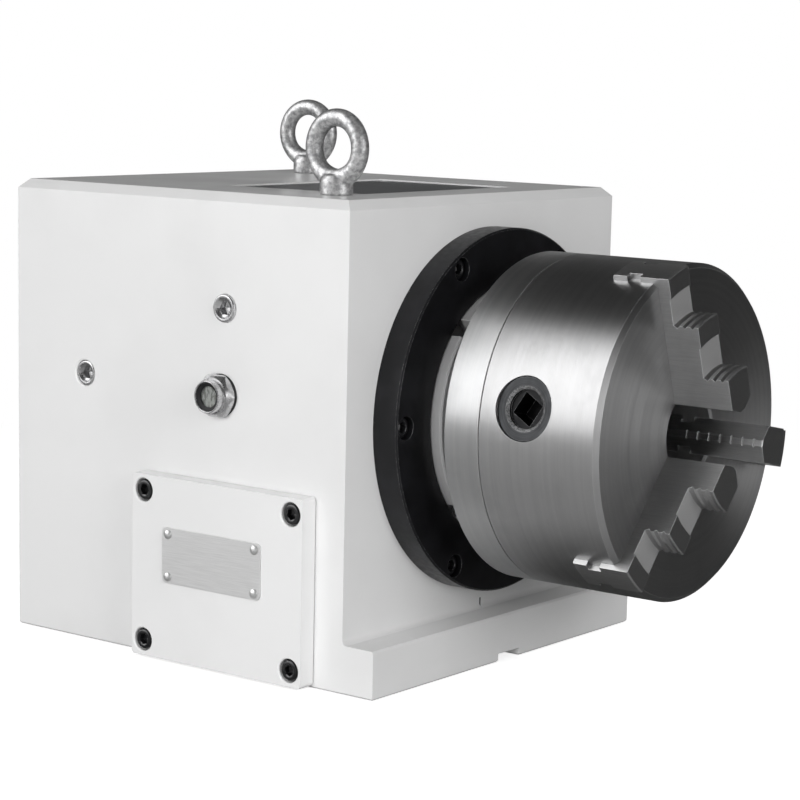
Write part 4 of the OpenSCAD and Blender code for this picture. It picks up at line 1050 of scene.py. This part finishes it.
@dataclass
class PlateRivets:
    """Domed rivets that hold the bare nameplate."""

    x: float = -73.5 * MM
    z: float = 53.8 * MM
    half_x: float = 27.7 * MM
    half_z: float = 10.55 * MM
    radius: float = 2.4 * MM
    shank: float = 1.2 * MM
    depth: float = 3 * MM
    plate: float = 0.85 * MM

    def build(self) -> Object:
        """Makes four rivets: the dome's height over its radius follows a quarter of an ellipse.

        Returns:
            The object.
        """
        base = self.plate
        rows: list[Row] = [
            (0.0, -self.depth), (self.shank, -self.depth), (self.shank, base), (self.radius * 0.98, base),
        ]
        rows += [
            (self.radius * max(math.cos(a), 0), base + 0.1 * MM + self.radius * 0.5 * math.sin(a))
            for a in np.linspace(0, np.pi / 2, 10)
        ]
        one = turned(rows, 48)
        parts = [
            one.placed(out_of((0, -1, 0)), (self.x + sx * self.half_x, COVER_FACE, self.z + sz * self.half_z))
            for sx in (-1, 1) for sz in (-1, 1)
        ]
        made = to_object("nameplate_rivets_detail", merged(parts), Finish.RIVET.material(), 40)
        return fitted(made, "zinc_steel", "nameplate_rivets")


@dataclass
class Eyebolt:
    """A forged lifting eyebolt: a round ring that grows out of a straight collar."""

    node: str
    x: float
    y: float
    turn: float
    bar: float = 8.6 * MM
    hole: float = 20 * MM
    height: float = 22 * MM
    swell: float = 0.25
    swell_angle: float = 0.55
    voxel: float = 0.42 * MM

    def ring(self) -> Surface:
        """Works out the ring: a circle of the bar's section carried round the hole.

        Towards the collar the section grows by a bell curve of the angle from the lowest point, so that
        the ring swells into the neck.

        Returns:
            The ring's surface, with the collar's foot at the origin.
        """
        round_hole, section = even_angles(96), even_angles(40)
        away = np.angle(np.exp(1j * (round_hole + np.pi / 2)))
        swell = 1 + self.swell * np.exp(-((away / self.swell_angle) ** 2))
        t, q = np.meshgrid(round_hole, section, indexing="ij")
        size = (self.bar / 2 * swell)[:, None]
        out = np.maximum((self.hole + self.bar) / 2 + size * np.cos(q), self.hole / 2)
        points = np.stack([out * np.cos(t), size * np.sin(q), out * np.sin(t) + self.height], axis=-1)
        return grid(points, wrap_rows=True).outward()

    def neck(self) -> Surface:
        """Works out the collar, the waist above it and the threaded shank as a turned profile.

        Returns:
            The neck's surface, with the collar's foot at the origin.
        """
        pairs = [
            (0.0, -11.0), (3.7, -11.0), (4.0, -10.7), (4.0, 0.0), (7.6, 0.0), (8.0, 0.4), (8.0, 6.0),
            (7.9, 6.8), (7.6, 7.5), (7.0, 8.4), (6.3, 9.5), (0.0, 10.6),
        ]
        rows = [(radius * MM, station * MM) for radius, station in pairs]
        return turned(rows, 64).placed(out_of((0, 0, 1)), (0, 0, 0))

    def build(self) -> Object:
        """Makes the eyebolt, melts its ring and neck together and smooths the joint.

        Returns:
            The object.
        """
        c, s = math.cos(math.radians(self.turn)), math.sin(math.radians(self.turn))
        spin = np.array([[c, -s, 0], [s, c, 0], [0, 0, 1]])
        whole = merged([self.ring(), self.neck()]).placed(spin, (self.x, self.y, BODY_TOP))
        made = to_object(self.node + "_detail", whole, Finish.FORGED.material(), 60)
        melt = made.modifiers.new("melt", "REMESH")
        melt.mode = "VOXEL"
        melt.voxel_size = self.voxel
        melt.use_smooth_shade = True
        ease = made.modifiers.new("ease", "SMOOTH")
        ease.factor = 0.6
        ease.iterations = 6
        return fitted(made, "zinc_steel", self.node)


@dataclass
class Studio:
    """Camera, pale floor, three soft lamps and the world.

    A lamp has its name, place, size and watts. A soft box of the world has its direction, the dot product
    at its edge, that at its core, and its strength.
    """

    eye: Point = (0.6946, -0.9750, 0.2962)
    azimuth: float = 36.78
    elevation: float = 9.02
    roll: float = 1.35
    focal_px: float = 2431.8
    centre_px: Span = (429.1, 443.6)
    image_px: int = 800
    aim: Point = (-0.03, 0.0, 0.12)
    sensor: float = 36.0
    lamps: tuple[Any, ...] = (
        ("side_lamp", (0.3, -1.95, 0.55), 1.2, 30),
        ("front_lamp", (1.85, -0.5, 0.75), 1.0, 18.8),
        ("rear_lamp", (-1.6, 1.5, 0.3), 1.2, 43),
    )
    soft_boxes: tuple[Any, ...] = (
        ((-0.59, -0.69, 0.42), 0.765, 0.975, 3.1),
        ((0.97, -0.12, 0.0), 0.84, 0.98, 2.4),
        ((-0.45, 0.88, 0.12), 0.85, 0.97, 0.1),
    )
    gloss_base: float = 0.045
    plain_light: float = 0.2
    floor_half: float = 8.0
    floor_drop: float = 0.4 * MM
    floor_glow: float = 0.78
    floor_shade_edge: Span = (0.06, 0.22)
    shadow_fade: Span = (0.35, 0.8)

    def camera(self) -> None:
        """Places the camera as fitted to the photograph, from its azimuth, elevation and roll."""
        az, el, roll = (math.radians(a) for a in (self.azimuth, self.elevation, self.roll))
        back = Vector((math.cos(el) * math.sin(az), -math.cos(el) * math.cos(az), math.sin(el)))
        level = Vector((math.cos(az), math.sin(az), 0))
        right = level * math.cos(roll) + back.cross(level) * math.sin(roll)
        data = bpy.data.cameras.new("camera")
        data.sensor_width = self.sensor
        data.lens = self.focal_px * self.sensor / self.image_px
        data.shift_x = 0.5 - self.centre_px[0] / self.image_px
        data.shift_y = self.centre_px[1] / self.image_px - 0.5
        data.clip_end = 50
        made = linked("camera", data)
        turn = Matrix((right, back.cross(right), back)).transposed().to_4x4()
        made.matrix_world = Matrix.Translation(self.eye) @ turn
        bpy.context.scene.camera = made

    def lamp(self, name: str, place: Sequence[float], size: float, watts: float) -> None:
        """Adds a square soft lamp that faces the object. Metal shows the world's soft boxes in its stead.

        Args:
            name: The lamp's name.
            place: Where it stands.
            size: The side of its square.
            watts: Its power.
        """
        data = bpy.data.lights.new(name, "AREA")
        data.shape = "SQUARE"
        data.size = size
        data.energy = watts
        made = linked(name, data)
        made.location = place
        made.rotation_euler = (Vector(self.aim) - Vector(place)).to_track_quat("-Z", "Y").to_euler()
        made.visible_glossy = False

    def floor(self) -> None:
        """Adds the floor: pale paper that is white to the camera, with the object's shadow near it, and, to
        reflections, painted shade under and beyond the object.
        """
        mesh = bpy.data.meshes.new("floor")
        half, low = self.floor_half, -self.floor_drop
        corners = [(u * half, v * half, low) for u, v in ((-1, -1), (1, -1), (1, 1), (-1, 1))]
        mesh.from_pydata(corners, [], [(0, 1, 2, 3)])
        s = Tree(bpy.data.materials.new("pale_paper_sweep"))
        path = s.add("LightPath").node.outputs
        # Painted shade, seen only in reflections: to gloss rays the floor is darker under the object and
        # beyond it, away from the camera.
        ahead = s.add("VectorMath DOT_PRODUCT", s.place, (0.5, -1.0, 0.0))
        pale = s.add("MapRange SMOOTHSTEP", ahead, *self.floor_shade_edge)
        painted_floor_shade = s.add("Mix RGBA", pale, "#5c5c5c", "#c9c9c9")
        tone = s.add("Mix RGBA", path["Is Glossy Ray"], "#c9c9c9", painted_floor_shade)
        paper = s.add("BsdfDiffuse", tone)
        lit = s.add("AddShader", paper, s.add("Emission", WHITE, self.floor_glow))
        away = s.add("VectorMath LENGTH", s.place)
        fade = s.add("MapRange SMOOTHSTEP", away, *self.shadow_fade)
        seen = s.add("MixShader", fade, lit, s.add("Emission", WHITE, 1.0))
        s.add("OutputMaterial", s.add("MixShader", path["Is Camera Ray"], paper, seen))
        mesh.materials.append(s.owner)
        linked("floor", mesh)

    def world(self) -> None:
        """Sets the world: white to the camera, soft boxes to gloss, even dim light to the rest.

        For gloss, each box's brightness follows the dot product of the ray's direction and the box's.
        """
        world = bpy.data.worlds.new("studio")
        bpy.context.scene.world = world
        s = Tree(world)
        path = s.add("LightPath").node.outputs
        ray = s.coords.outputs["Generated"]
        glow: Any = self.gloss_base
        for aim, edge, core, strength in self.soft_boxes:
            near = s.add("VectorMath DOT_PRODUCT", ray, Vector(aim).normalized())
            box = s.add("MapRange SMOOTHSTEP", near, edge, core, 0.0, strength)
            glow = s.add("Math ADD", box, glow)
        shiny = s.add("Background", glow, 1.0)
        plain = s.add("Background", WHITE, self.plain_light)
        white = s.add("Background", WHITE, 1.0)
        glossy = s.add("MixShader", path["Is Glossy Ray"], plain, shiny)
        clear = s.add("MixShader", path["Is Transmission Ray"], glossy, white)
        s.add("OutputWorld", s.add("MixShader", path["Is Camera Ray"], clear, white))

    def build(self) -> None:
        """Sets up everything round the object."""
        self.camera()
        self.floor()
        self.world()
        for lamp in self.lamps:
            self.lamp(*lamp)
        bpy.context.scene.view_settings.view_transform = "Standard"


@dataclass
class CastBody:
    """The cast body with its covers and panels, its fittings and the drive inside it."""

    plug_radius: float = 6.8 * MM
    port_radius: float = 6.3 * MM
    eye_x: float = 35 * MM
    eye_y: float = 77 * MM

    def dress(self) -> None:
        """Dresses the CAD nodes of the base and of the drive."""
        dress_nodes({
            Finish.BODY: ("housing",),
            Finish.COVER: ("side_cover", "rear_cover"),
            Finish.PANEL: ("top_cover",),
            Finish.PLATE: ("nameplate",),
            Finish.RING: ("front_ring",),
            Finish.REAR_CAP: ("rear_spindle_cap",),
            Finish.ZINC: ("top_cover_screws",),
            Finish.RUBBER: ("sight_glass_washer", "spindle_seal"),
            Finish.SCREW: ("motor_screws", "lead_socket"),
            Finish.MOTOR: ("motor",),
            Finish.PINION: ("worm_locknut",),
            Finish.BEARING: (
                "front_bearing_outer", "rear_bearing_outer", "main_bearing_balls", "worm_bearing_outers",
                "worm_bearing_balls", "worm_bearing_inners",
            ),
            Finish.TURNED: ("worm_shaft", "worm_gear", "motor_shaft", "motor_gear"),
        })

    def build(self) -> list[Object]:
        """Dresses the nodes and makes the fittings.

        Returns:
            The objects.
        """
        self.dress()
        return [
            *Fasteners().build(),
            SocketPlug("filler_plug", -75 * MM, 176 * MM, self.plug_radius, 1.6 * MM).build(),
            SocketPlug("rear_port_plug", -168.6 * MM, 136 * MM, self.port_radius, -0.6 * MM).build(),
            *SightGlass().build(),
            PlateRivets().build(),
            Eyebolt("eyebolt_front", -self.eye_x, -self.eye_y, -2).build(),
            Eyebolt("eyebolt_rear", BODY_BACK + self.eye_x, self.eye_y, 4).build(),
        ]


@dataclass
class SpindleAndChuck:
    """The spindle, the table, the adapter plate and the chuck with its jaws."""

    def dress(self) -> None:
        """Dresses the CAD nodes that turn with the spindle."""
        dress_nodes({
            Finish.TABLE: ("rotary_table",),
            Finish.TURNED: ("spindle", "chuck_adapter", "scroll_cover", "scroll_plate", "pinion_pins"),
            Finish.CHUCK: ("chuck_body",),
            Finish.JAW: ("jaw_1", "jaw_2", "jaw_3"),
            Finish.PINION: ("pinion_1", "pinion_2", "pinion_3", "spindle_locknut"),
            Finish.SCREW: ("rotary_table_screws", "worm_wheel_screws", "adapter_screws", "chuck_screws"),
            Finish.BRONZE: ("worm_wheel",),
            Finish.BEARING: ("front_bearing_inner", "rear_bearing_inner"),
        })


def main() -> None:
    """Builds the studio and the indexer in order, and reports each piece."""
    logging.basicConfig(level=logging.INFO, format="%(name)s: %(message)s")
    Studio().build()
    SpindleAndChuck().dress()
    for piece in CastBody().build():
        log.info("%s: %d faces", piece.name, len(piece.data.polygons))


if __name__ == "__main__":
    main()
